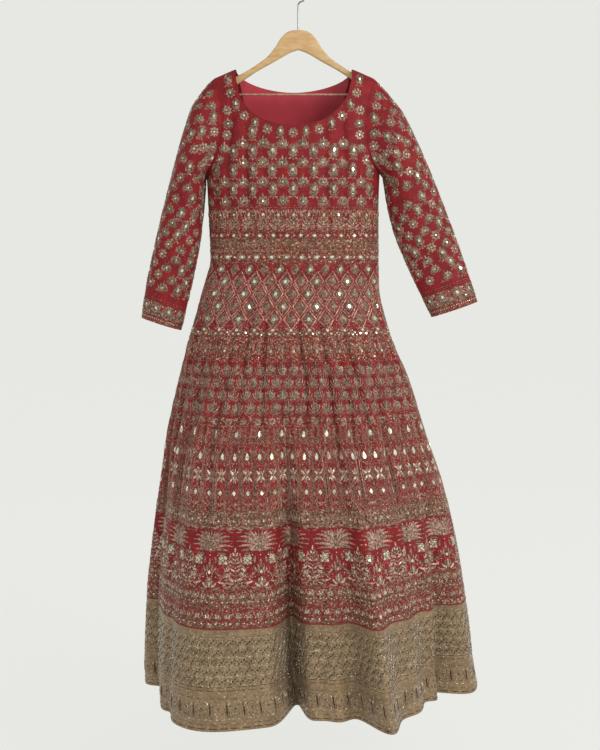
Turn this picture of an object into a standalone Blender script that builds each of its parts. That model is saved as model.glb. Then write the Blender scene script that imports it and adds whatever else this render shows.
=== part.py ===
# Anarkali gown hung on a wooden hanger.
# Metres, +Z up. The origin is the inside top of the hook, and the front faces -Y.
import math

import bmesh
import bpy
import numpy as np

SEAM_GAP = 0.0003
CLOTH = 0.0016
LINING = 0.0010
KALIS = 12
PANEL_COLUMNS = 7
KALI_ROWS = 10
HEM_ROWS = 3
BODICE_COLUMNS = 16
ROWS_TO_ARMPIT = 4
ROWS_ABOVE_ARMPIT = 8
SLEEVE_COLUMNS = 2 * ROWS_ABOVE_ARMPIT
SLEEVE_ROWS = 11
RING_SAMPLES = 2160
SLOPE_STEP = 0.002
SLOPE_REACH = 4.0

# Heights, all measured down from the hook.
NECK_POINT_DROP = 0.190
SHOULDER_TIP_DROP = 0.213
ARMPIT_DROP = 0.415
WAIST_DROP = 0.600
PIPING_DROP = 1.350
HEM_DROP = 1.550

# Neck opening.
NECK_HALF_WIDTH = 0.125
FRONT_NECK_DEPTH = 0.124
BACK_NECK_DEPTH = 0.045
FRONT_NECK_POWER = 2.3
BACK_NECK_POWER = 1.8
NECK_SHARE = 0.62
COLUMN_LEAN = 1.5
LINING_ROWS = 7
LINING_INSET = 4

# Level sections of the gown: drop, half width, half depth, centre x, roundness.
# Above the armpit the section closes on the shoulder line.
SECTIONS = (
    # drop, half_width, half_depth, centre_x, power
    (0.190, 0.125, 0.017, -0.009, 2.9),
    (0.201, 0.151, 0.025, -0.009, 2.8),
    (0.213, 0.175, 0.032, -0.009, 2.6),
    (0.250, 0.192, 0.043, -0.010, 2.5),
    (0.300, 0.195, 0.060, -0.010, 2.4),
    (0.360, 0.193, 0.073, -0.011, 2.3),
    (0.415, 0.188, 0.080, -0.011, 2.2),
    (0.500, 0.185, 0.076, -0.010, 2.2),
    (0.600, 0.184, 0.066, -0.008, 2.2),
    (0.635, 0.188, 0.068, -0.012, 2.2),
    (0.678, 0.196, 0.074, -0.017, 2.2),
    (0.757, 0.219, 0.090, -0.018, 2.2),
    (0.863, 0.255, 0.116, -0.010, 2.1),
    (0.971, 0.285, 0.143, -0.006, 2.1),
    (1.079, 0.313, 0.169, 0.004, 2.1),
    (1.188, 0.335, 0.193, 0.011, 2.1),
    (1.298, 0.352, 0.214, 0.015, 2.1),
    (1.409, 0.364, 0.232, 0.020, 2.1),
    (1.493, 0.371, 0.244, 0.023, 2.1),
    (1.552, 0.376, 0.251, 0.029, 2.1),
)

# Folds of the skirt. Angle runs round the gown from the front, to the wearer's left.
# Depth is at the hem, outwards, and each fold starts at its own drop.
FOLD_GROWTH = 1.15
FOLDS = (
    # angle_deg, half_width_deg, depth, start_drop
    (-33.0, 19.0, 0.078, 0.70),
    (-5.0, 3.4, -0.112, 0.86),
    (3.0, 4.0, -0.018, 0.90),
    (21.5, 5.0, 0.074, 0.95),
    (14.0, 4.0, -0.026, 0.80),
    (37.0, 5.0, -0.004, 1.00),
    (47.0, 7.0, -0.052, 0.85),
    (61.0, 7.0, -0.078, 0.92),
    (-66.0, 8.0, -0.022, 0.85),
    (-77.0, 5.0, -0.060, 0.78),
    (-48.0, 3.5, -0.016, 1.00),
    (104.0, 6.0, -0.050, 0.80),
    (122.0, 8.0, 0.040, 0.85),
    (139.0, 5.0, -0.062, 0.90),
    (158.0, 9.0, 0.044, 0.75),
    (177.0, 4.5, -0.075, 0.88),
    (-161.0, 8.0, 0.046, 0.80),
    (-143.0, 5.0, -0.058, 0.86),
    (-125.0, 8.0, 0.038, 0.90),
    (-105.0, 5.5, -0.054, 0.82),
)

# Line where each armhole meets the bodice: drop, distance from the centre.
ARMHOLE = (
    # drop, from_centre
    (0.213, 0.175),
    (0.235, 0.166),
    (0.265, 0.158),
    (0.310, 0.153),
    (0.355, 0.158),
    (0.392, 0.171),
    (0.415, 0.188),
)

# Sleeve sections seen from the front, from the outer edge to the inner one.
LEFT_OF_VIEW_SLEEVE = (
    # outer_x, outer_z, inner_x, inner_z, half_depth, centre_y
    (-0.214, -0.231, -0.2005, -0.4180, 0.058, 0.002),
    (-0.234, -0.282, -0.2010, -0.4300, 0.063, 0.002),
    (-0.256, -0.350, -0.2015, -0.4450, 0.063, 0.001),
    (-0.277, -0.426, -0.2050, -0.4880, 0.059, -0.001),
    (-0.299, -0.510, -0.2120, -0.5500, 0.050, -0.004),
    (-0.318, -0.590, -0.2260, -0.6250, 0.041, -0.007),
    (-0.333, -0.660, -0.2420, -0.6940, 0.034, -0.010),
    (-0.343, -0.724, -0.2560, -0.7520, 0.029, -0.012),
)
RIGHT_OF_VIEW_SLEEVE = (
    # outer_x, outer_z, inner_x, inner_z, half_depth, centre_y
    (0.198, -0.239, 0.1850, -0.4180, 0.058, 0.002),
    (0.229, -0.288, 0.1850, -0.4270, 0.062, 0.000),
    (0.259, -0.348, 0.1870, -0.4400, 0.056, -0.002),
    (0.291, -0.420, 0.1920, -0.4760, 0.046, -0.006),
    (0.319, -0.490, 0.2080, -0.5400, 0.040, -0.010),
    (0.344, -0.555, 0.2320, -0.6000, 0.034, -0.014),
    (0.369, -0.625, 0.2620, -0.6640, 0.027, -0.018),
    (0.391, -0.689, 0.2910, -0.7230, 0.023, -0.020),
)
SLEEVE_HEAD_SHARE = 0.12
ARMPIT_EASE = 0.0020

# Hanger.
HANGER_THICKNESS = 0.011
HANGER_EDGE = 0.0035
HANGER_TOP = (
    # x, z
    (0.000, -0.1080),
    (0.020, -0.1105),
    (0.036, -0.1240),
    (0.050, -0.1460),
    (0.066, -0.1640),
    (0.087, -0.1795),
    (0.110, -0.1942),
    (0.130, -0.2043),
    (0.155, -0.2163),
    (0.176, -0.2295),
    (0.187, -0.2410),
)
HANGER_UNDERSIDE = (
    # x, z
    (0.184, -0.2530),
    (0.172, -0.2530),
    (0.155, -0.2380),
    (0.125, -0.2190),
    (0.090, -0.1960),
    (0.050, -0.1740),
    (0.020, -0.1570),
    (0.000, -0.1500),
)
BAR_RADIUS = 0.0023
BAR_DROP = 0.2440
BAR_HALF_LENGTH = 0.1755
HOOK_WIRE = 0.00175
HOOK_INSIDE = 0.022
HOOK_STEM_END = -0.128
HOOK_NECK_DROP = 0.0578
HOOK_NECK_BEND = 0.010
HOOK_NECK_STEPS = 6
HOOK_LOOP_STEPS = 22
HOOK_LOOP_START = 6.0
HOOK_OPEN_ANGLE = 200.0
HOLE_SIDES = 24
BAR_SIDES = 16
SMOOTH_ANGLE = 40.0
WELD_DISTANCE = 0.00005
HOLE_CLEARANCE = 0.0003

# Piping.
PIPING_RADIUS = 0.0014
PIPING_POINTS = KALIS * PANEL_COLUMNS


def smooth_column(rows, column, drop):
    """Monotone cubic through one column of a table whose first column is the drop."""
    drops = np.array([row[0] for row in rows])
    values = np.array([row[column] for row in rows])
    steps = np.diff(drops)
    slopes = np.diff(values) / steps
    tangents = np.zeros(len(rows))
    tangents[0] = slopes[0]
    tangents[-1] = slopes[-1]
    for index in range(1, len(rows) - 1):
        before = slopes[index - 1]
        after = slopes[index]
        if before * after > 0.0:
            tangents[index] = 2.0 * before * after / (before + after)
    drop = np.clip(drop, drops[0], drops[-1])
    cell = np.clip(np.searchsorted(drops, drop) - 1, 0, len(rows) - 2)
    t = (drop - drops[cell]) / steps[cell]
    start = values[cell] * (1.0 + 2.0 * t) * (1.0 - t) ** 2
    end = values[cell + 1] * t ** 2 * (3.0 - 2.0 * t)
    leave = tangents[cell] * steps[cell] * t * (1.0 - t) ** 2
    arrive = tangents[cell + 1] * steps[cell] * t ** 2 * (t - 1.0)
    return start + end + leave + arrive


def section(drop):
    """Half width, half depth, centre x and roundness of the gown at a drop."""
    return tuple(smooth_column(SECTIONS, column, drop) for column in (1, 2, 3, 4))


def fold_height(angle, drop):
    """How far the skirt's folds stand out of the plain section."""
    height = np.zeros_like(angle)
    for fold_angle, half_width, depth, start in FOLDS:
        grown = np.clip((drop - start) / (HEM_DROP - start), 0.0, 1.0)
        away = (angle - fold_angle + 180.0) % 360.0 - 180.0
        height += depth * grown ** FOLD_GROWTH * np.exp(-(away / half_width) ** 2)
    return height


def skirt_ring(drop):
    """Closed outline of the skirt at a drop, evenly spaced, from the back round the front."""
    half_width, half_depth, centre_x, power = section(drop)
    angle = np.linspace(-180.0, 180.0, RING_SAMPLES + 1)
    turn = np.radians(angle)
    side = np.sin(turn)
    front = np.cos(turn)
    x = half_width * np.sign(side) * np.abs(side) ** (2.0 / power)
    y = -half_depth * np.sign(front) * np.abs(front) ** (2.0 / power)
    normal_x = np.sign(side) * np.abs(side) ** (2.0 - 2.0 / power) / half_width
    normal_y = -np.sign(front) * np.abs(front) ** (2.0 - 2.0 / power) / half_depth
    size = np.hypot(normal_x, normal_y)
    height = fold_height(angle, drop)
    x = x + height * normal_x / size + centre_x
    y = y + height * normal_y / size
    length = np.concatenate(([0.0], np.cumsum(np.hypot(np.diff(x), np.diff(y)))))
    even = np.linspace(0.0, length[-1], RING_SAMPLES + 1)
    return np.interp(even, length, x), np.interp(even, length, y), length[-1]


def skirt_point(share, drop):
    """Point and outward normal of the skirt: share runs -0.5 to 0.5 round from the front."""
    x, y, perimeter = skirt_ring(drop)
    lower_x, lower_y, _ = skirt_ring(drop + SLOPE_STEP)
    place = (share + 0.5) * RING_SAMPLES
    nearby = np.arange(RING_SAMPLES + 1)
    wide = np.concatenate((nearby - RING_SAMPLES, nearby[1:], nearby[1:] + RING_SAMPLES))
    ring_x = np.concatenate((x, x[1:], x[1:]))
    ring_y = np.concatenate((y, y[1:], y[1:]))
    here = np.array((np.interp(place, nearby, x), np.interp(place, nearby, y), -drop))
    after = place + SLOPE_REACH
    before = place - SLOPE_REACH
    ahead = np.array((np.interp(after, wide, ring_x), np.interp(after, wide, ring_y)))
    behind = np.array((np.interp(before, wide, ring_x), np.interp(before, wide, ring_y)))
    below = np.array((np.interp(place, nearby, lower_x), np.interp(place, nearby, lower_y)))
    along = np.array((*(ahead - behind), 0.0))
    down = np.array((*(below - here[:2]), -SLOPE_STEP))
    normal = np.cross(down, along)
    return here, normal / np.linalg.norm(normal)


def bodice_point(from_centre, drop, facing):
    """Point and outward normal of the bodice: facing is -1 for the front, 1 for the back."""
    half_width, half_depth, centre_x, power = section(drop)
    wider, deeper, _, _ = section(drop + SLOPE_STEP)
    narrower, shallower, _, _ = section(drop - SLOPE_STEP)
    share = min(abs(from_centre) / half_width, 1.0)
    across = (1.0 - share ** power) ** (1.0 / power)
    here = np.array((from_centre + centre_x, facing * half_depth * across, -drop))
    width_slope = (wider - narrower) / (2.0 * SLOPE_STEP * half_width)
    depth_slope = (deeper - shallower) / (2.0 * SLOPE_STEP * half_depth)
    normal = np.array((
        math.copysign(share ** (power - 1.0) / half_width, from_centre),
        facing * across ** (power - 1.0) / half_depth,
        share ** power * width_slope + across ** power * depth_slope,
    ))
    return here, normal / np.linalg.norm(normal)


def neck_drop(from_centre, depth, power):
    """Drop of the neck edge at a distance from the centre."""
    share = min(abs(from_centre) / NECK_HALF_WIDTH, 1.0)
    return NECK_POINT_DROP + depth * (1.0 - share ** power) ** (1.0 / power)


def shoulder_from_centre(drop):
    """Distance from the centre at which the shoulder line has this drop."""
    return float(section(drop)[0])


def side_from_centre(drop):
    """Side edge of a bodice panel: the side seam, then the armhole."""
    if drop >= ARMPIT_DROP:
        return float(section(drop)[0])
    return float(smooth_column(ARMHOLE, 1, drop))


def bodice_rise(row):
    """Share of the way up a bodice panel: at the side edge, one row lies at the armpit."""
    armpit = (WAIST_DROP - ARMPIT_DROP) / (WAIST_DROP - SHOULDER_TIP_DROP)
    if row <= ROWS_TO_ARMPIT:
        return armpit * row / ROWS_TO_ARMPIT
    return armpit + (1.0 - armpit) * (row - ROWS_TO_ARMPIT) / ROWS_ABOVE_ARMPIT


def bodice_grid(facing, neck_depth, neck_power):
    """Points and normals of a bodice panel, from its low edge up to the neck and shoulders."""
    columns = BODICE_COLUMNS
    rows = ROWS_TO_ARMPIT + ROWS_ABOVE_ARMPIT
    low_drop = WAIST_DROP - 0.5 * SEAM_GAP
    points = np.zeros((rows + 1, columns + 1, 3))
    normals = np.zeros((rows + 1, columns + 1, 3))
    for column in range(columns + 1):
        share = 2.0 * column / columns - 1.0
        way = 1.0 if share >= 0.0 else -1.0
        if abs(share) <= NECK_SHARE:
            top_x = NECK_HALF_WIDTH * math.sin(0.5 * math.pi * share / NECK_SHARE)
            top_drop = neck_drop(top_x, neck_depth, neck_power)
        else:
            climb = (abs(share) - NECK_SHARE) / (1.0 - NECK_SHARE)
            top_drop = NECK_POINT_DROP + climb * (SHOULDER_TIP_DROP - NECK_POINT_DROP)
            top_x = way * shoulder_from_centre(top_drop)
        low_ratio = math.sin(0.5 * math.pi * share)
        top_ratio = top_x / side_from_centre(top_drop)
        for row in range(rows + 1):
            rise = bodice_rise(row)
            drop = low_drop + (top_drop - low_drop) * rise
            ratio = low_ratio + (top_ratio - low_ratio) * rise ** COLUMN_LEAN
            from_centre = ratio * side_from_centre(drop)
            here, normal = bodice_point(from_centre, drop, facing)
            points[row, column] = here
            normals[row, column] = normal
    return points, normals


def shift_from_seam(points, facing):
    """Hold the side and shoulder edges half a gap away from the other panel."""
    points[:, :, 1] = facing * np.maximum(facing * points[:, :, 1], 0.5 * SEAM_GAP)


def panel_object(name, outer, inner, closed, material):
    """Cloth wall between two skins of points, with its edges filled in."""
    rows, columns = outer.shape[0], outer.shape[1]
    mesh = bpy.data.meshes.new(name)
    shape = bmesh.new()
    outside = [[shape.verts.new(point) for point in line] for line in outer]
    inside = [[shape.verts.new(point) for point in line] for line in inner]
    wrap = columns if closed else columns - 1
    for row in range(rows - 1):
        for column in range(wrap):
            after = (column + 1) % columns
            shape.faces.new((outside[row][column], outside[row][after],
                             outside[row + 1][after], outside[row + 1][column]))
            shape.faces.new((inside[row][column], inside[row + 1][column],
                             inside[row + 1][after], inside[row][after]))
    for column in range(wrap):
        after = (column + 1) % columns
        shape.faces.new((outside[0][after], outside[0][column],
                         inside[0][column], inside[0][after]))
        shape.faces.new((outside[-1][column], outside[-1][after],
                         inside[-1][after], inside[-1][column]))
    if not closed:
        for row in range(rows - 1):
            shape.faces.new((outside[row][0], outside[row + 1][0],
                             inside[row + 1][0], inside[row][0]))
            shape.faces.new((outside[row + 1][-1], outside[row][-1],
                             inside[row][-1], inside[row + 1][-1]))
    bmesh.ops.recalc_face_normals(shape, faces=shape.faces)
    bmesh.ops.triangulate(shape, faces=shape.faces)
    shape.to_mesh(mesh)
    shape.free()
    return add_part(name, mesh, material)


def add_part(name, mesh, material):
    """Put a mesh in the gown's collection with its material."""
    part = bpy.data.objects.new(name, mesh)
    parts.objects.link(part)
    mesh.materials.clear()
    mesh.materials.append(material)
    mesh.shade_smooth()
    mesh.set_sharp_from_angle(angle=math.radians(SMOOTH_ANGLE))
    return part


def cloth_material(name, colour, roughness, metallic=0.0):
    """Plain Principled material."""
    material = bpy.data.materials.new(name)
    material.use_nodes = True
    shader = material.node_tree.nodes["Principled BSDF"]
    shader.inputs["Base Color"].default_value = (*colour, 1.0)
    shader.inputs["Roughness"].default_value = roughness
    shader.inputs["Metallic"].default_value = metallic
    return material


def build_bodice():
    """Front and back panels, and the lining that shows inside the back neck."""
    for name, facing, depth, power in (
        ("bodice_front", -1.0, FRONT_NECK_DEPTH, FRONT_NECK_POWER),
        ("bodice_back", 1.0, BACK_NECK_DEPTH, BACK_NECK_POWER),
    ):
        outer, normals = bodice_grid(facing, depth, power)
        inner = outer - CLOTH * normals
        shift_from_seam(outer, facing)
        shift_from_seam(inner, facing)
        panel_object(name, outer, inner, False, red_silk)
    shown = outer[-LINING_ROWS:, LINING_INSET:-LINING_INSET]
    inward = normals[-LINING_ROWS:, LINING_INSET:-LINING_INSET]
    first = CLOTH + SEAM_GAP
    panel_object("back_neck_lining", shown - first * inward,
                 shown - (first + LINING) * inward, False, red_lining)


def armhole_ring(side):
    """Edge that a sleeve is set into, from the shoulder tip down the front and up the back."""
    columns = SLEEVE_COLUMNS
    points = np.zeros((columns, 3))
    normals = np.zeros((columns, 3))
    for column in range(columns):
        facing = -1.0 if column <= ROWS_ABOVE_ARMPIT else 1.0
        row = ROWS_TO_ARMPIT + abs(ROWS_ABOVE_ARMPIT - column)
        drop = WAIST_DROP + (SHOULDER_TIP_DROP - WAIST_DROP) * bodice_rise(row)
        from_centre = side * side_from_centre(drop)
        here, normal = bodice_point(from_centre, drop, facing)
        points[column] = here
        normals[column] = normal
    return points, normals


def sleeve_grid(side, table):
    """Points of a sleeve: rings that change from the armhole's shape to the cuff's."""
    columns = SLEEVE_COLUMNS
    rows = SLEEVE_ROWS
    armhole, _ = armhole_ring(side)
    steps = np.arange(len(table), dtype=float)
    measures = [[(step, row[column]) for step, row in zip(steps, table)] for column in range(6)]
    points = np.zeros((rows + 1, columns, 3))
    for row in range(rows + 1):
        along = (len(table) - 1) * row / rows
        outer_x, outer_z, inner_x, inner_z, half_depth, centre_y = (
            float(smooth_column(measure, 1, along)) for measure in measures)
        settle = min(row / rows / SLEEVE_HEAD_SHARE, 1.0)
        settle = settle * settle * (3.0 - 2.0 * settle)
        for column in range(columns):
            turn = 2.0 * math.pi * column / columns
            across = 0.5 + 0.5 * math.cos(turn)
            ring = np.array((
                inner_x + (outer_x - inner_x) * across,
                centre_y - half_depth * math.sin(turn),
                inner_z + (outer_z - inner_z) * across,
            ))
            clear = SEAM_GAP + ARMPIT_EASE * (0.5 - 0.5 * math.cos(turn)) ** 6
            edge = armhole[column] + np.array((side * clear, 0.0, 0.0))
            points[row, column] = edge * (1.0 - settle) + ring * settle
    return points


def grid_normals(points, side):
    """Outward normals of a closed tube of rings."""
    around = np.roll(points, -1, axis=1) - np.roll(points, 1, axis=1)
    along = np.gradient(points, axis=0)
    normals = side * np.cross(along, around)
    return normals / np.linalg.norm(normals, axis=2, keepdims=True)


def build_sleeves():
    """Both sleeves, open at the armhole and at the cuff."""
    for name, side, table in (
        ("sleeve_right_arm", -1.0, LEFT_OF_VIEW_SLEEVE),
        ("sleeve_left_arm", 1.0, RIGHT_OF_VIEW_SLEEVE),
    ):
        outer = sleeve_grid(side, table)
        inner = outer - CLOTH * grid_normals(outer, side)
        inner[0] = outer[0] - CLOTH * armhole_ring(side)[1]
        panel_object(name, outer, inner, True, red_silk)


def skirt_panel(name, index, top_drop, low_drop, rows, material):
    """One flared panel of the skirt, between two seams."""
    outer = np.zeros((rows + 1, PANEL_COLUMNS + 1, 3))
    normals = np.zeros((rows + 1, PANEL_COLUMNS + 1, 3))
    for row in range(rows + 1):
        drop = top_drop + (low_drop - top_drop) * row / rows
        half_gap = 0.5 * SEAM_GAP / skirt_ring(drop)[2]
        start = index / KALIS - 0.5 + half_gap
        end = (index + 1) / KALIS - 0.5 - half_gap
        for column in range(PANEL_COLUMNS + 1):
            share = start + (end - start) * column / PANEL_COLUMNS
            outer[row, column], normals[row, column] = skirt_point(share, drop)
    return panel_object(name, outer, outer - CLOTH * normals, False, material)


def build_skirt():
    """Kalis, hem panels and the piping between them."""
    piping_half = PIPING_RADIUS + SEAM_GAP
    for index in range(KALIS):
        skirt_panel(f"kali_{index + 1:02d}", index, WAIST_DROP + 0.5 * SEAM_GAP,
                    PIPING_DROP - piping_half, KALI_ROWS, red_silk)
        skirt_panel(f"hem_panel_{index + 1:02d}", index, PIPING_DROP + piping_half,
                    HEM_DROP, HEM_ROWS, gold_tissue)
    x, y, _ = skirt_ring(PIPING_DROP)
    curve = bpy.data.curves.new("hem_piping", "CURVE")
    curve.dimensions = "3D"
    curve.bevel_depth = PIPING_RADIUS
    curve.bevel_resolution = 0
    route = curve.splines.new("POLY")
    route.points.add(PIPING_POINTS - 1)
    for index in range(PIPING_POINTS):
        sample = index * RING_SAMPLES // PIPING_POINTS
        route.points[index].co = (x[sample], y[sample], -PIPING_DROP, 1.0)
    route.use_cyclic_u = True
    piping = bpy.data.objects.new("hem_piping", curve)
    parts.objects.link(piping)
    curve.materials.append(red_cord)


def drill(part, name, location, turn, radius, depth):
    """Cut a round hole with a cylinder."""
    bpy.ops.mesh.primitive_cylinder_add(vertices=HOLE_SIDES, radius=radius, depth=depth,
                                        location=location, rotation=turn)
    cutter = bpy.context.active_object
    cutter.name = name
    for holder in tuple(cutter.users_collection):
        holder.objects.unlink(cutter)
    cutters.objects.link(cutter)
    cutter.hide_render = True
    cutter.display_type = "WIRE"
    cut = part.modifiers.new(name, "BOOLEAN")
    cut.operation = "DIFFERENCE"
    cut.solver = "EXACT"
    cut.object = cutter


def build_hanger():
    """Wooden body cut from board, trouser bar and steel hook."""
    curve = bpy.data.curves.new("hanger_outline", "CURVE")
    curve.dimensions = "2D"
    curve.fill_mode = "BOTH"
    curve.extrude = 0.5 * HANGER_THICKNESS - HANGER_EDGE
    curve.bevel_depth = HANGER_EDGE
    curve.bevel_resolution = 2
    curve.offset = -HANGER_EDGE
    half = [*HANGER_TOP[1:], *HANGER_UNDERSIDE[:-1]]
    outline = [HANGER_TOP[0], *half, HANGER_UNDERSIDE[-1]]
    outline += [(-x, z) for x, z in reversed(half)]
    route = curve.splines.new("POLY")
    route.points.add(len(outline) - 1)
    for point, (x, z) in zip(route.points, outline):
        point.co = (x, z, 0.0, 1.0)
    route.use_cyclic_u = True
    blank = bpy.data.objects.new("hanger_outline", curve)
    parts.objects.link(blank)
    blank.rotation_euler = (0.5 * math.pi, 0.0, 0.0)
    bpy.context.view_layer.update()
    evaluated = blank.evaluated_get(bpy.context.evaluated_depsgraph_get())
    mesh = bpy.data.meshes.new_from_object(evaluated)
    mesh.transform(blank.matrix_world)
    shape = bmesh.new()
    shape.from_mesh(mesh)
    bmesh.ops.remove_doubles(shape, verts=shape.verts, dist=WELD_DISTANCE)
    bmesh.ops.recalc_face_normals(shape, faces=shape.faces)
    shape.to_mesh(mesh)
    shape.free()
    bpy.data.objects.remove(blank)
    wood = add_part("hanger_wood", mesh, pale_wood)
    hole_end = HOOK_STEM_END - HOLE_CLEARANCE
    hole_depth = HANGER_TOP[0][1] - hole_end
    drill(wood, "stem_hole", (0.0, 0.0, hole_end + hole_depth), (0.0, 0.0, 0.0),
          HOOK_WIRE + HOLE_CLEARANCE, 2.0 * hole_depth)
    drill(wood, "bar_hole", (0.0, 0.0, -BAR_DROP), (0.0, 0.5 * math.pi, 0.0),
          BAR_RADIUS + HOLE_CLEARANCE, 2.0 * (BAR_HALF_LENGTH + HOLE_CLEARANCE))

    bpy.ops.mesh.primitive_cylinder_add(vertices=BAR_SIDES, radius=BAR_RADIUS,
                                        depth=2.0 * BAR_HALF_LENGTH,
                                        location=(0.0, 0.0, -BAR_DROP),
                                        rotation=(0.0, 0.5 * math.pi, 0.0))
    bar = bpy.context.active_object
    bar.name = "hanger_bar"
    for holder in tuple(bar.users_collection):
        holder.objects.unlink(bar)
    parts.objects.link(bar)
    bar.data.materials.append(brass_bar)
    bar.data.shade_smooth()
    bar.data.set_sharp_from_angle(angle=math.radians(SMOOTH_ANGLE))

    loop = HOOK_INSIDE + HOOK_WIRE
    centre_z = -HOOK_INSIDE
    route_points = [(0.0, HOOK_STEM_END), (0.0, -HOOK_NECK_DROP)]
    for step in range(1, HOOK_NECK_STEPS + 1):
        turn = 0.5 * math.pi * step / HOOK_NECK_STEPS
        route_points.append((HOOK_NECK_BEND * (1.0 - math.cos(turn)),
                             HOOK_NECK_BEND * math.sin(turn) - HOOK_NECK_DROP))
    first = math.degrees(math.atan2(route_points[-1][1] - centre_z, route_points[-1][0]))
    first += HOOK_LOOP_START
    for step in range(1, HOOK_LOOP_STEPS + 1):
        turn = math.radians(first + (HOOK_OPEN_ANGLE - first) * step / HOOK_LOOP_STEPS)
        route_points.append((loop * math.cos(turn), centre_z + loop * math.sin(turn)))
    wire = bpy.data.curves.new("hook", "CURVE")
    wire.dimensions = "3D"
    wire.bevel_depth = HOOK_WIRE
    wire.bevel_resolution = 2
    wire.use_fill_caps = True
    bent = wire.splines.new("POLY")
    bent.points.add(len(route_points) - 1)
    for point, (x, z) in zip(bent.points, route_points):
        point.co = (x, 0.0, z, 1.0)
    hook = bpy.data.objects.new("hook", wire)
    parts.objects.link(hook)
    wire.materials.append(steel_wire)


for old in tuple(bpy.data.objects):
    bpy.data.objects.remove(old)

parts = bpy.data.collections.new("anarkali_gown")
cutters = bpy.data.collections.new("cutters")
bpy.context.scene.collection.children.link(parts)
bpy.context.scene.collection.children.link(cutters)

red_silk = cloth_material("red silk", (0.36, 0.02, 0.03), 0.7)
red_lining = cloth_material("red lining", (0.33, 0.03, 0.04), 0.6)
gold_tissue = cloth_material("gold tissue", (0.23, 0.16, 0.09), 0.5, 0.3)
red_cord = cloth_material("red cord", (0.30, 0.02, 0.03), 0.6)
pale_wood = cloth_material("pale wood", (0.56, 0.38, 0.20), 0.5)
brass_bar = cloth_material("brass bar", (0.45, 0.28, 0.20), 0.4, 0.6)
steel_wire = cloth_material("steel wire", (0.45, 0.45, 0.45), 0.35, 1.0)

build_bodice()
build_sleeves()
build_skirt()
build_hanger()
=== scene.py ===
import math

import bpy
import numpy as np
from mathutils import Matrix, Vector


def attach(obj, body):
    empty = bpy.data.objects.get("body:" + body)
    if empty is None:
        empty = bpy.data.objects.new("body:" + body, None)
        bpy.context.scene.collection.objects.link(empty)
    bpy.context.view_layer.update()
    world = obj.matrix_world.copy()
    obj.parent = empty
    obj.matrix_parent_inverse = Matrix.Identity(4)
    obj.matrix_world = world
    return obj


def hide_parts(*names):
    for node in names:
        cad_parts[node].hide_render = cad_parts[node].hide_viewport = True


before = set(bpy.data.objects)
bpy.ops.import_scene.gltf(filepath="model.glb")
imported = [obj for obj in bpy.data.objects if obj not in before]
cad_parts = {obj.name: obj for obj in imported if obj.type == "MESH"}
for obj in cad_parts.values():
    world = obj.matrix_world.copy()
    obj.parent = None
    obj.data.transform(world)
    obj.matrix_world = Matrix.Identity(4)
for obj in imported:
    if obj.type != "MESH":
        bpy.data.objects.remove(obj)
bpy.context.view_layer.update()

# An embroidered anarkali gown on a wooden hanger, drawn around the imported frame.
# Metres, +Z up, front towards -Y. A drop is a distance below the top of the hook.
chance = np.random.default_rng(7)
bpy.ops.object.select_all(action="DESELECT")
print("frame loaded")

cloth = {
    "seamGap": 0.0003, "wall": 0.0016, "lining": 0.0010, "kalis": 12,
    "neckDrop": 0.190, "tipDrop": 0.213, "armpitDrop": 0.415,
    "waistDrop": 0.600, "pipingDrop": 1.350, "hemDrop": 1.550,
    "pipingRadius": 0.0014, "ringSamples": 2160, "underarmGap": 0.0020, "headShare": 0.12,
    "neckHalfWidth": 0.125, "neckShare": 0.62, "columnLean": 1.5, "foldGrowth": 1.15,
    "frontNeck": (0.124, 2.3), "backNeck": (0.045, 1.8),
}
levelSections = (
    # drop, halfWidth, halfDepth, centreX, roundness
    (0.190, 0.125, 0.017, -0.009, 2.9),
    (0.201, 0.151, 0.025, -0.009, 2.8),
    (0.213, 0.175, 0.032, -0.009, 2.6),
    (0.250, 0.192, 0.043, -0.010, 2.5),
    (0.300, 0.195, 0.060, -0.010, 2.4),
    (0.360, 0.193, 0.073, -0.011, 2.3),
    (0.415, 0.188, 0.080, -0.011, 2.2),
    (0.500, 0.185, 0.076, -0.010, 2.2),
    (0.600, 0.184, 0.066, -0.008, 2.2),
    (0.635, 0.188, 0.068, -0.012, 2.2),
    (0.678, 0.196, 0.074, -0.017, 2.2),
    (0.757, 0.219, 0.090, -0.018, 2.2),
    (0.863, 0.255, 0.116, -0.010, 2.1),
    (0.971, 0.285, 0.143, -0.006, 2.1),
    (1.079, 0.313, 0.169, 0.004, 2.1),
    (1.188, 0.335, 0.193, 0.011, 2.1),
    (1.298, 0.352, 0.214, 0.015, 2.1),
    (1.409, 0.364, 0.232, 0.020, 2.1),
    (1.493, 0.371, 0.244, 0.023, 2.1),
    (1.552, 0.376, 0.251, 0.029, 2.1),
)
skirtFolds = (
    # angle, halfWidth in degrees, depth at the hem, start drop
    (-33.0, 19.0, 0.078, 0.70),
    (-5.0, 3.4, -0.112, 0.86),
    (3.0, 4.0, -0.018, 0.90),
    (21.5, 5.0, 0.074, 0.95),
    (14.0, 4.0, -0.026, 0.80),
    (37.0, 5.0, -0.004, 1.00),
    (47.0, 7.0, -0.052, 0.85),
    (61.0, 7.0, -0.078, 0.92),
    (-66.0, 8.0, -0.022, 0.85),
    (-77.0, 5.0, -0.060, 0.78),
    (-48.0, 3.5, -0.016, 1.00),
    (104.0, 6.0, -0.050, 0.80),
    (122.0, 8.0, 0.040, 0.85),
    (139.0, 5.0, -0.062, 0.90),
    (158.0, 9.0, 0.044, 0.75),
    (177.0, 4.5, -0.075, 0.88),
    (-161.0, 8.0, 0.046, 0.80),
    (-143.0, 5.0, -0.058, 0.86),
    (-125.0, 8.0, 0.038, 0.90),
    (-105.0, 5.5, -0.054, 0.82),
)
armholeLine = (
    # drop, from the centre
    (0.213, 0.175), (0.235, 0.166), (0.265, 0.158), (0.310, 0.153),
    (0.355, 0.158), (0.392, 0.171), (0.415, 0.188),
)
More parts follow.
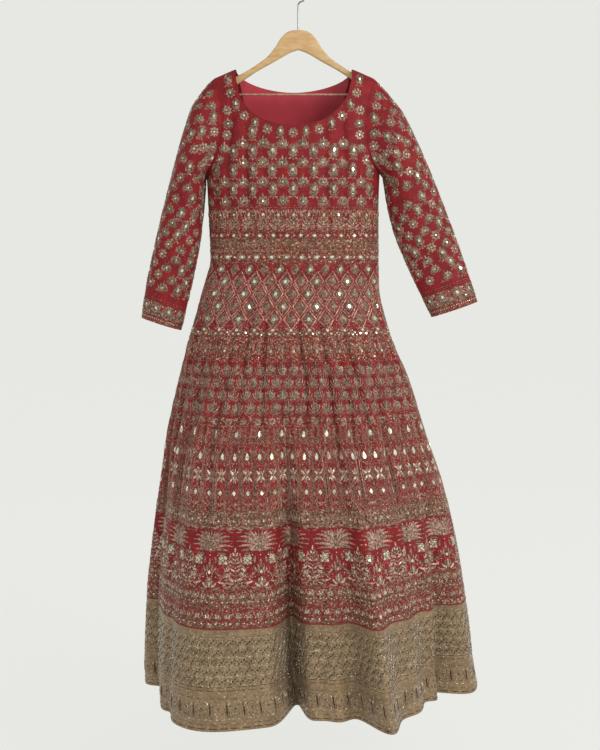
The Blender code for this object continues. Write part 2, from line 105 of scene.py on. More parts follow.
sleeveTables = {
    # outerX, outerZ, innerX, innerZ, halfDepth, centreY
    "sleeve_right_arm": (-1.0, (
        (-0.214, -0.231, -0.2005, -0.4180, 0.058, 0.002),
        (-0.234, -0.282, -0.2010, -0.4300, 0.063, 0.002),
        (-0.256, -0.350, -0.2015, -0.4450, 0.063, 0.001),
        (-0.277, -0.426, -0.2050, -0.4880, 0.059, -0.001),
        (-0.299, -0.510, -0.2120, -0.5500, 0.050, -0.004),
        (-0.318, -0.590, -0.2260, -0.6250, 0.041, -0.007),
        (-0.333, -0.660, -0.2420, -0.6940, 0.034, -0.010),
        (-0.343, -0.724, -0.2560, -0.7520, 0.029, -0.012),
    )),
    "sleeve_left_arm": (1.0, (
        (0.198, -0.239, 0.1850, -0.4180, 0.058, 0.002),
        (0.229, -0.288, 0.1850, -0.4270, 0.062, 0.000),
        (0.259, -0.348, 0.1870, -0.4400, 0.056, -0.002),
        (0.291, -0.420, 0.1920, -0.4760, 0.046, -0.006),
        (0.319, -0.490, 0.2080, -0.5400, 0.040, -0.010),
        (0.344, -0.555, 0.2320, -0.6000, 0.034, -0.014),
        (0.369, -0.625, 0.2620, -0.6640, 0.027, -0.018),
        (0.391, -0.689, 0.2910, -0.7230, 0.023, -0.020),
    )),
}
# Soft creases pressed into the cloth, each with its own length: a minus depth is a trough.
skirtCreases = (
    # share round from the front, halfWidth as share, depth, from drop, to drop
    (-0.088, 0.0050, -0.0035, 0.62, 1.10),
    (-0.052, 0.0045, -0.0040, 0.66, 1.00),
    (-0.120, 0.0060, -0.0050, 0.70, 1.30),
    (-0.145, 0.0050, 0.0040, 0.74, 1.18),
    (-0.172, 0.0060, -0.0050, 0.72, 1.40),
    (-0.205, 0.0055, -0.0050, 0.66, 1.20),
    (0.022, 0.0045, -0.0045, 0.70, 1.04),
    (0.047, 0.0050, 0.0040, 0.72, 1.20),
    (0.066, 0.0045, -0.0045, 0.68, 1.12),
    (0.094, 0.0055, -0.0050, 0.74, 1.34),
    (0.118, 0.0050, -0.0040, 0.66, 1.06),
    (0.146, 0.0055, -0.0055, 0.76, 1.42),
    (0.182, 0.0060, -0.0040, 0.70, 1.22),
    (0.214, 0.0050, -0.0040, 0.64, 1.10),
    (-0.252, 0.0060, -0.0045, 0.68, 1.30),
    (-0.295, 0.0060, -0.0050, 0.72, 1.16),
    (-0.335, 0.0055, 0.0045, 0.66, 1.24),
    (-0.384, 0.0060, -0.0050, 0.70, 1.36),
    (-0.430, 0.0050, -0.0045, 0.64, 1.08),
    (-0.472, 0.0055, -0.0045, 0.74, 1.28),
    (0.262, 0.0055, -0.0050, 0.72, 1.32),
    (0.308, 0.0060, 0.0045, 0.66, 1.12),
    (0.352, 0.0060, -0.0050, 0.70, 1.38),
    (0.398, 0.0055, -0.0045, 0.68, 1.14),
    (0.446, 0.0060, -0.0050, 0.74, 1.30),
)
bodiceCreases = (
    # from the centre, halfWidth, depth, from drop, to drop
    (-0.137, 0.0080, -0.0070, 0.240, 0.570),
    (-0.098, 0.0085, -0.0075, 0.270, 0.560),
    (-0.062, 0.0075, -0.0045, 0.340, 0.545),
    (0.070, 0.0090, -0.0075, 0.290, 0.560),
    (0.108, 0.0080, -0.0070, 0.250, 0.570),
    (0.146, 0.0075, -0.0050, 0.310, 0.550),
    (-0.165, 0.0065, -0.0045, 0.380, 0.570),
    (0.032, 0.0085, -0.0030, 0.400, 0.545),
)
sleeveCreases = (
    # share round, halfWidth as share, depth, from and to as shares of the length
    (0.20, 0.030, -0.0030, 0.10, 0.55),
    (0.34, 0.030, -0.0035, 0.05, 0.42),
    (0.12, 0.025, 0.0025, 0.30, 0.80),
    (0.27, 0.025, -0.0025, 0.50, 0.92),
    (0.62, 0.035, -0.0035, 0.08, 0.50),
    (0.78, 0.030, -0.0030, 0.25, 0.75),
    (0.88, 0.030, -0.0025, 0.10, 0.60),
)


def smoothColumn(rows, column, drop):
    # monotone cubic through one column of a table whose first column is the drop
    drops = np.array([row[0] for row in rows])
    values = np.array([row[column] for row in rows])
    steps = np.diff(drops)
    slopes = np.diff(values) / steps
    tangents = np.zeros(len(rows))
    tangents[0] = slopes[0]
    tangents[-1] = slopes[-1]
    for index in range(1, len(rows) - 1):
        before, after = slopes[index - 1], slopes[index]
        if before * after > 0.0:
            tangents[index] = 2.0 * before * after / (before + after)
    drop = np.clip(drop, drops[0], drops[-1])
    cell = np.clip(np.searchsorted(drops, drop) - 1, 0, len(rows) - 2)
    t = (drop - drops[cell]) / steps[cell]
    start = values[cell] * (1.0 + 2.0 * t) * (1.0 - t) ** 2
    end = values[cell + 1] * t ** 2 * (3.0 - 2.0 * t)
    leave = tangents[cell] * steps[cell] * t * (1.0 - t) ** 2
    arrive = tangents[cell + 1] * steps[cell] * t ** 2 * (t - 1.0)
    return start + end + leave + arrive


def sectionAt(drop):
    return tuple(smoothColumn(levelSections, column, drop) for column in (1, 2, 3, 4))


# Creases wander a little to the side as they fall.
creasing = {
    "skirtDepth": 2.1, "swell": 0.8, "wander": 0.35, "wave": 23.0, "shift": 40.0,
    "fadeStart": 0.25, "fadeSpan": 0.3,
}


def creaseHeight(creases, across, along, wraps):
    height = np.zeros(np.broadcast(across, along).shape)
    for place, halfWidth, depth, start, end in creases:
        away = across - place
        if wraps:
            away = (away + 0.5) % 1.0 - 0.5
        wave = np.sin(creasing["wave"] * along + creasing["shift"] * place)
        lean = creasing["wander"] * halfWidth * wave
        t = np.clip((along - start) / (end - start), 0.0, 1.0)
        swell = np.sin(np.pi * t) ** creasing["swell"]
        height += depth * swell * np.exp(-((away - lean) / halfWidth) ** 2)
    return height


def skirtRing(drop):
    # closed outline of the skirt, evenly spaced from the back round the front
    halfWidth, halfDepth, centreX, roundness = sectionAt(drop)
    samples = cloth["ringSamples"]
    angle = np.linspace(-180.0, 180.0, samples + 1)
    side, front = np.sin(np.radians(angle)), np.cos(np.radians(angle))
    x = halfWidth * np.sign(side) * np.abs(side) ** (2.0 / roundness)
    y = -halfDepth * np.sign(front) * np.abs(front) ** (2.0 / roundness)
    normalX = np.sign(side) * np.abs(side) ** (2.0 - 2.0 / roundness) / halfWidth
    normalY = -np.sign(front) * np.abs(front) ** (2.0 - 2.0 / roundness) / halfDepth
    size = np.hypot(normalX, normalY)
    height = np.zeros_like(angle)
    for foldAngle, foldWidth, depth, start in skirtFolds:
        grown = np.clip((drop - start) / (cloth["hemDrop"] - start), 0.0, 1.0)
        away = (angle - foldAngle + 180.0) % 360.0 - 180.0
        height += depth * grown ** cloth["foldGrowth"] * np.exp(-(away / foldWidth) ** 2)
    x = x + height * normalX / size + centreX
    y = y + height * normalY / size
    length = np.concatenate(([0.0], np.cumsum(np.hypot(np.diff(x), np.diff(y)))))
    even = np.linspace(0.0, length[-1], samples + 1)
    return np.interp(even, length, x), np.interp(even, length, y), length[-1]


def gridNormals(points, wraps):
    # outward normals of a grid whose rows go down and whose columns go round
    if wraps:
        around = np.roll(points, -1, axis=1) - np.roll(points, 1, axis=1)
    else:
        around = np.gradient(points, axis=1)
    down = np.gradient(points, axis=0)
    normals = np.cross(down, around)
    return normals / np.linalg.norm(normals, axis=2, keepdims=True)


def bilinear(grid, row, column):
    rows, columns = grid.shape[0], grid.shape[1]
    low = np.clip(np.floor(row).astype(int), 0, rows - 2)
    left = np.clip(np.floor(column).astype(int), 0, columns - 2)
    down = (row - low)[..., None]
    right = (column - left)[..., None]
    top = grid[low, left] * (1.0 - right) + grid[low, left + 1] * right
    base = grid[low + 1, left] * (1.0 - right) + grid[low + 1, left + 1] * right
    return top * (1.0 - down) + base * down


# How near the edge of a panel the embroidery may come.
margins = {
    "skirt": 0.001, "side": 0.0012, "neck": 0.0015, "waist": 0.0006, "shoulder": 0.002,
    "armhole": 0.004, "cuff": 0.0015,
}
print("laying out the skirt")
skirtGrid = {"columnsPerKali": 40, "kaliRows": 66, "hemRows": 20}
pipingHalf = cloth["pipingRadius"] + cloth["seamGap"]
kaliDrops = np.linspace(cloth["waistDrop"] + 0.5 * cloth["seamGap"],
                        cloth["pipingDrop"] - pipingHalf, skirtGrid["kaliRows"] + 1)
hemDrops = np.linspace(cloth["pipingDrop"] + pipingHalf, cloth["hemDrop"], skirtGrid["hemRows"] + 1)
skirtDrops = np.concatenate((kaliDrops, hemDrops))
skirtColumns = cloth["kalis"] * skirtGrid["columnsPerKali"]
skirtShares = np.linspace(-0.5, 0.5, skirtColumns + 1)
skirtPoints = np.zeros((len(skirtDrops), skirtColumns + 1, 3))
skirtRounds = np.zeros(len(skirtDrops))
for row, drop in enumerate(skirtDrops):
    ringX, ringY, skirtRounds[row] = skirtRing(drop)
    place = (skirtShares + 0.5) * cloth["ringSamples"]
    samples = np.arange(cloth["ringSamples"] + 1)
    skirtPoints[row, :, 0] = np.interp(place, samples, ringX)
    skirtPoints[row, :, 1] = np.interp(place, samples, ringY)
    skirtPoints[row, :, 2] = -drop
skirtNormals = np.zeros_like(skirtPoints)
skirtNormals[:, :-1] = gridNormals(skirtPoints[:, :-1], True)
skirtNormals[:, -1] = skirtNormals[:, 0]
creased = creasing["skirtDepth"] * creaseHeight(skirtCreases, skirtShares[None, :], skirtDrops[:, None], True)
skirtPoints = skirtPoints + creased[..., None] * skirtNormals
skirtNormals[:, :-1] = gridNormals(skirtPoints[:, :-1], True)
skirtNormals[:, -1] = skirtNormals[:, 0]


def skirtRound(drop):
    return np.interp(drop, skirtDrops, skirtRounds)


def onSkirt(share, drop):
    row = np.interp(drop, skirtDrops, np.arange(len(skirtDrops)))
    column = ((share + 0.5) % 1.0) * skirtColumns
    points = bilinear(skirtPoints, row, column)
    normals = bilinear(skirtNormals, row, column)
    inside = (drop > skirtDrops[0] + margins["skirt"]) & (drop < skirtDrops[-1] - margins["skirt"])
    return points, normals, inside


def bodicePoint(fromCentre, drop, facing):
    # point and outward normal of the bodice, creases included
    halfWidth, halfDepth, centreX, power = sectionAt(drop)
    step = 0.002
    wider, deeper, _, _ = sectionAt(drop + step)
    narrower, shallower, _, _ = sectionAt(drop - step)
    share = np.minimum(np.abs(fromCentre) / halfWidth, 1.0)
    across = (1.0 - share ** power) ** (1.0 / power)
    widthSlope = (wider - narrower) / (2.0 * step * halfWidth)
    depthSlope = (deeper - shallower) / (2.0 * step * halfDepth)
    normal = np.stack((
        np.sign(fromCentre) * share ** (power - 1.0) / halfWidth,
        facing * across ** (power - 1.0) / halfDepth,
        share ** power * widthSlope + across ** power * depthSlope,
    ), axis=-1)
    normal = normal / np.linalg.norm(normal, axis=-1, keepdims=True)
    level = -drop * np.ones_like(across)
    here = np.stack((fromCentre + centreX, facing * halfDepth * across, level), axis=-1)
    # creases die out towards the side seams
    fade = np.clip((across - creasing["fadeStart"]) / creasing["fadeSpan"], 0.0, 1.0)
    height = creaseHeight(bodiceCreases, facing * -fromCentre, drop, False) * fade
    return here + height[..., None] * normal, normal


def neckDropAt(fromCentre, neck):
    share = np.minimum(np.abs(fromCentre) / cloth["neckHalfWidth"], 1.0)
    return cloth["neckDrop"] + neck[0] * (1.0 - share ** neck[1]) ** (1.0 / neck[1])


def sideAt(drop):
    # side edge of a bodice panel: the side seam, then the armhole
    drop = np.asarray(drop, dtype=float)
    return np.where(drop >= cloth["armpitDrop"], sectionAt(drop)[0], smoothColumn(armholeLine, 1, drop))


def bodiceGrid(facing, neck, columns, rows):
    share = np.linspace(-1.0, 1.0, columns + 1)
    size = np.abs(share)
    neckShare = cloth["neckShare"]
    turn = 0.5 * math.pi * np.clip(share / neckShare, -1.0, 1.0)
    neckX = cloth["neckHalfWidth"] * np.sin(turn)
    climb = np.clip((size - neckShare) / (1.0 - neckShare), 0.0, 1.0)
    shoulderDrop = cloth["neckDrop"] + climb * (cloth["tipDrop"] - cloth["neckDrop"])
    onNeck = size <= neckShare
    topDrop = np.where(onNeck, neckDropAt(neckX, neck), shoulderDrop)
    topX = np.where(onNeck, neckX, np.sign(share) * sectionAt(shoulderDrop)[0])
    lowDrop = cloth["waistDrop"] - 0.5 * cloth["seamGap"]
    rise = np.linspace(0.0, 1.0, rows + 1)[::-1, None]
    drop = lowDrop + (topDrop - lowDrop)[None, :] * rise
    lowRatio = np.sin(0.5 * math.pi * share)
    ratio = lowRatio + (topX / sideAt(topDrop) - lowRatio)[None, :] * rise ** cloth["columnLean"]
    points, normals = bodicePoint(ratio * sideAt(drop), drop, facing)
    return points, normals, drop


shoulderLine = np.array(levelSections[:3])
bodiceArcs = np.linspace(-0.26, 0.26, 209)
bodiceLevels = np.linspace(0.188, 0.602, 139)
arcToX = np.zeros((len(bodiceLevels), len(bodiceArcs), 1))
sideArcs = np.zeros(len(bodiceLevels))
for row, drop in enumerate(bodiceLevels):
    halfWidth, halfDepth, _, power = sectionAt(drop)
    turn = np.linspace(0.0, 0.5 * math.pi, 400)
    x = halfWidth * np.sin(turn) ** (2.0 / power)
    y = halfDepth * np.cos(turn) ** (2.0 / power)
    arc = np.concatenate(([0.0], np.cumsum(np.hypot(np.diff(x), np.diff(y)))))
    arcToX[row, :, 0] = np.sign(bodiceArcs) * np.interp(np.abs(bodiceArcs), arc, x)
    sideArcs[row] = np.interp(float(sideAt(drop)), x, arc)


def onBodice(facing, neck):
    # arc runs round from the centre of the panel, towards the right of the one who looks at it
    def place(arc, drop):
        row = np.interp(drop, bodiceLevels, np.arange(len(bodiceLevels)))
        column = (arc - bodiceArcs[0]) / (bodiceArcs[1] - bodiceArcs[0])
        fromCentre = -facing * bilinear(arcToX, row, column)[..., 0]
        points, normals = bodicePoint(fromCentre, drop, facing)
        inside = np.abs(arc) < np.interp(drop, bodiceLevels, sideArcs) - margins["side"]
        inside &= drop > neckDropAt(fromCentre, neck) + margins["neck"]
        inside &= drop < cloth["waistDrop"] - margins["waist"]
        shoulder = np.interp(np.abs(fromCentre), shoulderLine[:, 1], shoulderLine[:, 0])
        inside &= drop > shoulder + margins["shoulder"]
        return points, normals, inside
    return place


def sleeveGrid(name, columns, rows):
    side, table = sleeveTables[name]
    steps = np.arange(len(table), dtype=float)
    measures = [[(step, row[column]) for step, row in zip(steps, table)] for column in range(6)]
    turn = np.linspace(0.0, 2.0 * math.pi, columns + 1)
    fall = 0.5 - 0.5 * np.cos(turn)
    headDrop = cloth["tipDrop"] + (cloth["armpitDrop"] - cloth["tipDrop"]) * np.minimum(
        turn, 2.0 * math.pi - turn) / math.pi
    facing = np.where(turn <= math.pi, -1.0, 1.0)
    head = np.zeros((columns + 1, 3))
    headNormals = np.zeros((columns + 1, 3))
    for column in range(columns + 1):
        fromCentre = side * sideAt(headDrop[column])
        head[column], headNormals[column] = bodicePoint(fromCentre, headDrop[column], facing[column])
    head[:, 0] += side * (cloth["seamGap"] + cloth["underarmGap"] * fall ** 6)
    points = np.zeros((rows + 1, columns + 1, 3))
    across = 0.5 + 0.5 * np.cos(turn)
    for row in range(rows + 1):
        along = (len(table) - 1) * row / rows
        outerX, outerZ, innerX, innerZ, halfDepth, centreY = (
            float(smoothColumn(measure, 1, along)) for measure in measures)
        settle = min(row / rows / cloth["headShare"], 1.0)
        settle = settle * settle * (3.0 - 2.0 * settle)
        ring = np.stack((innerX + (outerX - innerX) * across, centreY - halfDepth * np.sin(turn),
                         innerZ + (outerZ - innerZ) * across), axis=-1)
        points[row] = head * (1.0 - settle) + ring * settle
    if side > 0.0:
        points = points[:, ::-1]
        headNormals = headNormals[::-1]
    normals = np.zeros_like(points)
    normals[:, :-1] = gridNormals(points[:, :-1], True)
    shares = np.linspace(0.0, 1.0, columns + 1)
    levels = np.linspace(0.0, 1.0, rows + 1)
    height = creaseHeight(sleeveCreases, shares[None, :], levels[:, None], True)
    normals[:, -1] = normals[:, 0]
    points = points + height[..., None] * normals
    normals[:, :-1] = gridNormals(points[:, :-1], True)
    normals[:, -1] = normals[:, 0]
    return points, normals, headNormals


def onSleeve(points, normals):
    rounds = np.linalg.norm(np.diff(points, axis=1), axis=2).sum(axis=1)
    middle = points[:, :-1].mean(axis=1)
    length = np.linalg.norm(np.diff(middle, axis=0), axis=1).sum()
    levels = np.linspace(0.0, length, len(points))

    def place(share, along):
        row = np.interp(along, levels, np.arange(len(levels)))
        column = (share % 1.0) * (points.shape[1] - 1)
        inside = (along > margins["armhole"]) & (along < length - margins["cuff"])
        return bilinear(points, row, column), bilinear(normals, row, column), inside
    return place, length, lambda along: np.interp(along, levels, rounds)


def finishMesh(name, points, faces, material, uv=None, angle=40.0):
    mesh = bpy.data.meshes.new(name)
    mesh.from_pydata(points.tolist(), [], faces)
    piece = bpy.data.objects.new(name, mesh)
    bpy.context.scene.collection.objects.link(piece)
    for finish in material if isinstance(material, (list, tuple)) else (material,):
        mesh.materials.append(finish)
    if uv is not None:
        layer = mesh.uv_layers.new(name="cut")
        loops = np.zeros(len(mesh.loops), dtype=np.int32)
        mesh.loops.foreach_get("vertex_index", loops)
        layer.data.foreach_set("uv", uv[loops].astype(np.float32).ravel())
    mesh.shade_smooth()
    mesh.set_sharp_from_angle(angle=math.radians(angle))
    return piece


def clothWall(name, outer, inner, closed, material, uv):
    # thin shell between two skins of points, with its edges filled in
    rows, columns = outer.shape[0], outer.shape[1]
    count = rows * columns
    index = np.arange(count).reshape(rows, columns)
    after = np.roll(index, -1, axis=1) if closed else index[:, 1:]
    here = index if closed else index[:, :-1]
    faces = []
    outside = np.stack((here[:-1], here[1:], after[1:], after[:-1]), axis=-1).reshape(-1, 4)
    faces += outside.tolist()
    faces += (outside[:, ::-1] + count).tolist()
    top = np.stack((here[0], after[0], after[0] + count, here[0] + count), axis=-1)
    base = np.stack((after[-1], here[-1], here[-1] + count, after[-1] + count), axis=-1)
    faces += top.tolist() + base.tolist()
    if not closed:
        left, right = index[:, 0], index[:, -1]
        faces += np.stack((left[1:], left[:-1], left[:-1] + count, left[1:] + count), axis=-1).tolist()
        faces += np.stack((right[:-1], right[1:], right[1:] + count, right[:-1] + count), axis=-1).tolist()
    points = np.concatenate((outer.reshape(-1, 3), inner.reshape(-1, 3)))
    uv = np.concatenate((uv.reshape(-1, 2), uv.reshape(-1, 2)))
    return finishMesh(name, points, faces, material, uv)


def linear(hexColour):
    # sRGB hex to the linear colour that a shader takes
    parts = [int(hexColour[start:start + 2], 16) / 255.0 for start in (1, 3, 5)]
    parts = [p / 12.92 if p <= 0.04045 else ((p + 0.055) / 1.055) ** 2.4 for p in parts]
    return (*parts, 1.0)


def addNode(tree, kind, settings, stops=(), out=0):
    # one node, given back as one of its outputs: a socket among its settings is linked, and stops are
    # the places and colours of a ramp
    made = tree.nodes.new("ShaderNode" + kind)
    for name, value in settings.items():
        if isinstance(value, bpy.types.NodeSocket):
            tree.links.new(value, made.inputs[name])
        elif isinstance(name, str) and hasattr(made, name):
            setattr(made, name, value)
        else:
            made.inputs[name].default_value = value
    for index, (place, colour) in enumerate(stops):
        elements = made.color_ramp.elements
        element = elements[index] if index < 2 else elements.new(place)
        element.position = place
        element.color = linear(colour) if isinstance(colour, str) else (colour, colour, colour, 1.0)
    return made.outputs[out]


def newMaterial(name, **shaderValues):
    # the material, its tree, its shader, and the place on the piece that its patterns follow
    material = bpy.data.materials.new(name)
    material.use_nodes = True
    tree = material.node_tree
    shader = tree.nodes["Principled BSDF"]
    for socket, value in shaderValues.items():
        shader.inputs[socket.replace("_", " ")].default_value = value
    return material, tree, shader, addNode(tree, "TexCoord", {}, out="Object")


def feed(shader, **sources):
    # links a source to each of the shader's sockets that it names
    for socket, source in sources.items():
        shader.id_data.links.new(source, shader.inputs[socket.replace("_", " ")])


def clouded(name, pattern, stops, **shaderValues):
    # a finish whose colour drifts through the stops along one soft noise
    material, tree, shader, space = newMaterial(name, **shaderValues)
    noise = addNode(tree, "TexNoise", {**pattern, "Vector": space})
    colour = addNode(tree, "ValToRGB", {"Fac": noise}, stops)
    feed(shader, Base_Color=colour)
    return material, tree, shader, space, noise


def cellShade(tree, space, scale, stops, spread=1.0):
    # a colour of its own for each short stitch, and how far a spot is from the middle of its stitch;
    # scale is about how many stitches fill a metre
    away = addNode(tree, "TexVoronoi", {"Scale": scale, "Randomness": spread, "Vector": space})
    shade = addNode(tree, "SeparateColor", {"Color": away.node.outputs["Color"]})
    return addNode(tree, "ValToRGB", {"Fac": shade}, stops), away


silk = {
    "low": 0.18, "high": 1.56, "roughness": 0.66, "stitchScale": 300.0, "stitchSpread": 0.9,
    "reach": 0.72, "edge": 9.0, "metal": 0.35, "shine": 0.18, "weaveShare": 0.5,
    "cover": (
        # how thickly couching fills the ground between the drawn motifs: drop, cover
        (0.18, 0.24), (0.480, 0.30), (0.490, 0.72), (0.535, 0.76), (0.540, 0.66), (0.553, 0.70),
        (0.556, 0.98), (0.571, 0.98), (0.573, 0.84), (0.604, 0.80), (0.610, 0.50), (0.740, 0.54),
        (0.752, 0.78), (0.812, 0.76), (0.818, 0.30), (0.915, 0.32), (0.928, 0.68), (0.975, 0.62),
        (1.100, 0.58), (1.116, 0.74), (1.121, 0.97), (1.150, 0.97), (1.156, 0.28), (1.262, 0.42),
        (1.276, 0.80), (1.305, 0.94), (1.316, 0.72), (1.334, 0.76), (1.343, 0.96), (1.349, 0.96),
    ),
    "ground": ((0.30, "#6d0f16"), (0.55, "#82131a"), (0.75, "#951a20")),
    "thread": ((0.0, "#4a3329"), (0.45, "#755d48"), (0.85, "#957660"), (0.97, "#c0ab8a")),
}


def embroideredSilk():
    # Raw silk under metal-thread couching: a dull red ground that shows between short pale stitches.
    material, tree, shader, space = newMaterial(
        "embroidered red silk", Sheen_Weight=0.04, Sheen_Roughness=0.5, Specular_IOR_Level=0.25)
    cut = addNode(tree, "UVMap", {"uv_map": "cut"})
    drop = addNode(tree, "SeparateXYZ", {"Vector": cut}, out="Y")
    span = silk["high"] - silk["low"]
    below = addNode(tree, "Math", {"operation": "SUBTRACT", 0: drop, 1: silk["low"]})
    share = addNode(tree, "Math", {"operation": "DIVIDE", 0: below, 1: span})
    stops = [((level - silk["low"]) / span, cover) for level, cover in silk["cover"]]
    cover = addNode(tree, "ValToRGB", {"Fac": share}, stops)
    # a stitch is about 3 mm long and drawn a little coarse so that it reads from across a room
    stitch, away = cellShade(tree, space, silk["stitchScale"], silk["thread"], silk["stitchSpread"])
    reach = addNode(tree, "Math", {"operation": "MULTIPLY", 0: cover, 1: silk["reach"]})
    inside = addNode(tree, "Math", {"operation": "SUBTRACT", 0: reach, 1: away})
    steep = addNode(tree, "Math", {"operation": "MULTIPLY", 0: inside, 1: silk["edge"]})
    mask = addNode(tree, "Clamp", {"Value": steep})
    slub = addNode(tree, "TexNoise", {"Scale": 55.0, "Detail": 4.0, "Vector": space})
    ground = addNode(tree, "ValToRGB", {"Fac": slub}, silk["ground"])
    colour = addNode(tree, "Mix", {"data_type": "RGBA", 0: mask, 6: ground, 7: stitch}, out=2)
    metal = addNode(tree, "Math", {"operation": "MULTIPLY", 0: mask, 1: silk["metal"]})
    shine = addNode(tree, "Math", {"operation": "MULTIPLY", 0: mask, 1: silk["shine"]})
    rough = addNode(tree, "Math", {"operation": "SUBTRACT", 0: silk["roughness"], 1: shine})
    feed(shader, Base_Color=colour, Metallic=metal, Roughness=rough)
    weave = addNode(tree, "TexNoise", {"Scale": 900.0, "Detail": 2.0, "Vector": space})
    low = addNode(tree, "Math", {"operation": "MULTIPLY", 0: weave, 1: silk["weaveShare"]})
    raised = addNode(tree, "Math", {"operation": "ADD", 0: mask, 1: low})
    feed(shader, Normal=addNode(tree, "Bump", {"Strength": 0.5, "Distance": 0.0006, "Height": raised}))
    return material


def goldTissue():
    # Tissue woven with flat metal weft, dulled with wear, under fine scrolling zari.
    material, tree, shader, space = newMaterial(
        "gold tissue", Roughness=0.5, Metallic=0.25, Sheen_Weight=0.15)
    patch = addNode(tree, "TexNoise", {"Scale": 24.0, "Detail": 5.0, "Vector": space})
    body = addNode(tree, "ValToRGB", {"Fac": patch}, (
        (0.30, "#6f583e"), (0.52, "#8a7051"), (0.72, "#9a7e5b")))
    fleck, grain = cellShade(tree, space, 330.0, (
        (0.0, "#4d3c2a"), (0.25, "#7a634a"), (0.80, "#947b5a"), (0.96, "#b8a27b")))
    colour = addNode(tree, "Mix", {"data_type": "RGBA", 0: 0.45, 6: body, 7: fleck}, out=2)
    feed(shader, Base_Color=colour)
    weave = addNode(tree, "TexNoise", {"Scale": 700.0, "Detail": 3.0, "Vector": space})
    height = addNode(tree, "Math", {"operation": "ADD", 0: weave, 1: grain})
    feed(shader, Normal=addNode(tree, "Bump", {"Strength": 0.6, "Distance": 0.0006, "Height": height}))
    return material


def metalThread(name, darkHex, middleHex, paleHex, roughness):
    # Zari, a silvered wire on a coloured core: dull shine that breaks up from stitch to stitch.
    material, tree, shader, space = newMaterial(name, Roughness=roughness, Metallic=0.45)
    colour, strand = cellShade(tree, space, 480.0, ((0.05, darkHex), (0.5, middleHex), (0.92, paleHex)))
    feed(shader, Base_Color=colour)
    feed(shader, Normal=addNode(tree, "Bump", {"Strength": 0.5, "Distance": 0.0005, "Height": strand}))
    return material


def redLining():
    # Plain polyester lining: smooth, closely woven, with a faint shine.
    material, tree, shader, space, _ = clouded("red lining", {"Scale": 14.0, "Detail": 3.0},
                                               ((0.30, "#b5333f"), (0.70, "#d1414e")),
                                               Roughness=0.5, Sheen_Weight=0.2)
    weave = addNode(tree, "TexNoise", {"Scale": 1100.0, "Vector": space})
    feed(shader, Normal=addNode(tree, "Bump", {"Strength": 0.25, "Distance": 0.0003, "Height": weave}))
    return material


def pipingCord():
    # Silk bias over a cord, darker where it turns under.
    material, tree, shader, _, twill = clouded("red piping", {"Scale": 400.0, "Detail": 3.0},
                                               ((0.35, "#6f161d"), (0.65, "#96222b")), Roughness=0.6)
    feed(shader, Normal=addNode(tree, "Bump", {"Strength": 0.4, "Distance": 0.0004, "Height": twill}))
    return material


def varnishedBeech():
    # Steamed beech under clear satin varnish: pale, with long low grain and small flecks.
    material, tree, shader, space = newMaterial("varnished beech", Roughness=0.42, Coat_Weight=0.25,
                                                Coat_Roughness=0.25)
    along = addNode(tree, "Mapping", {"Scale": (14.0, 70.0, 70.0), "Vector": space})
    grain = addNode(tree, "TexNoise", {"Scale": 2.4, "Detail": 6.0, "Distortion": 0.4, "Vector": along})
    wood = addNode(tree, "ValToRGB", {"Fac": grain}, (
        (0.28, "#b98f5b"), (0.50, "#c8a26e"), (0.72, "#d2b182")))
    short = addNode(tree, "Mapping", {"Scale": (60.0, 400.0, 400.0), "Vector": space})
    fleck = addNode(tree, "TexNoise", {"Scale": 3.0, "Detail": 2.0, "Vector": short})
    dark = addNode(tree, "ValToRGB", {"Fac": fleck}, ((0.62, 1.0), (0.72, 0.80)))
    colour = addNode(tree, "Mix", {
        "data_type": "RGBA", "blend_type": "MULTIPLY", 0: 1.0, 6: wood, 7: dark}, out=2)
    feed(shader, Base_Color=colour)
    feed(shader, Normal=addNode(tree, "Bump", {"Strength": 0.12, "Distance": 0.0005, "Height": grain}))
    return material


def drawnMetal(name, darkHex, paleHex, metallic, roughness):
    # Drawn and plated wire: smooth, with faint marks along its length.
    material, tree, shader, _, marks = clouded(name, {"Scale": 180.0, "Detail": 4.0},
                                               ((0.30, darkHex), (0.70, paleHex)), Metallic=metallic)
    rough = addNode(tree, "MapRange", {"To Min": roughness, "To Max": roughness + 0.15, "Value": marks})
    feed(shader, Roughness=rough)
    return material


print("mixing the materials")
redSilk = embroideredSilk()
tissue = goldTissue()
zariFinishes = {
    "rose": metalThread("rose zari", "#6b4036", "#a07464", "#c7a08f", 0.45),
    "antique": metalThread("antique zari", "#4a372c", "#806856", "#b1987f", 0.45),
    "pale": metalThread("pale zari", "#75695a", "#a99b84", "#dcd2ba", 0.36),
    # dark: dark thread for the hem's dots, made darker still as painted shade that sets off the pale curls
    # and the hem's edge
    "dark": metalThread("dark zari with painted shade", "#2a1f18", "#3f3026", "#5d4a38", 0.55),
    "couched": metalThread("couched zari", "#47312a", "#7b5f50", "#a18572", 0.5),
}
# Small silvered glass and sequins, a little cloudy, each at its own tilt.
mirror = clouded("silvered mirror", {"Scale": 260.0, "Detail": 2.0},
                 ((0.30, "#8d917c"), (0.50, "#d5d6bf"), (0.68, "#fbfbf2")), Roughness=0.26, Metallic=0.75)[0]
lining = redLining()
cord = pipingCord()
beech = varnishedBeech()
brass = drawnMetal("brassed bar", "#a56f5c", "#d29c86", 0.35, 0.38)
steel = drawnMetal("plated wire", "#6a6b6a", "#9a9b99", 0.9, 0.30)

# Motif drawing, in millimetres: u to the right, v up and h off the cloth.
thread = {"sink": 0.25, "line": 1.3, "lineHeight": 0.8, "leafHeight": 0.95, "fillHeight": 0.6,
          "lineSpread": 1.55, "leafSpread": 1.5, "hoopSpread": 1.35, "lean": 0.16, "whole": 0.6}


def bend(start, control, end, count=5):
    t = np.linspace(0.0, 1.0, count)[:, None]
    start, control, end = (np.array(p, dtype=float) for p in (start, control, end))
    return start * (1.0 - t) ** 2 + control * 2.0 * t * (1.0 - t) + end * t ** 2


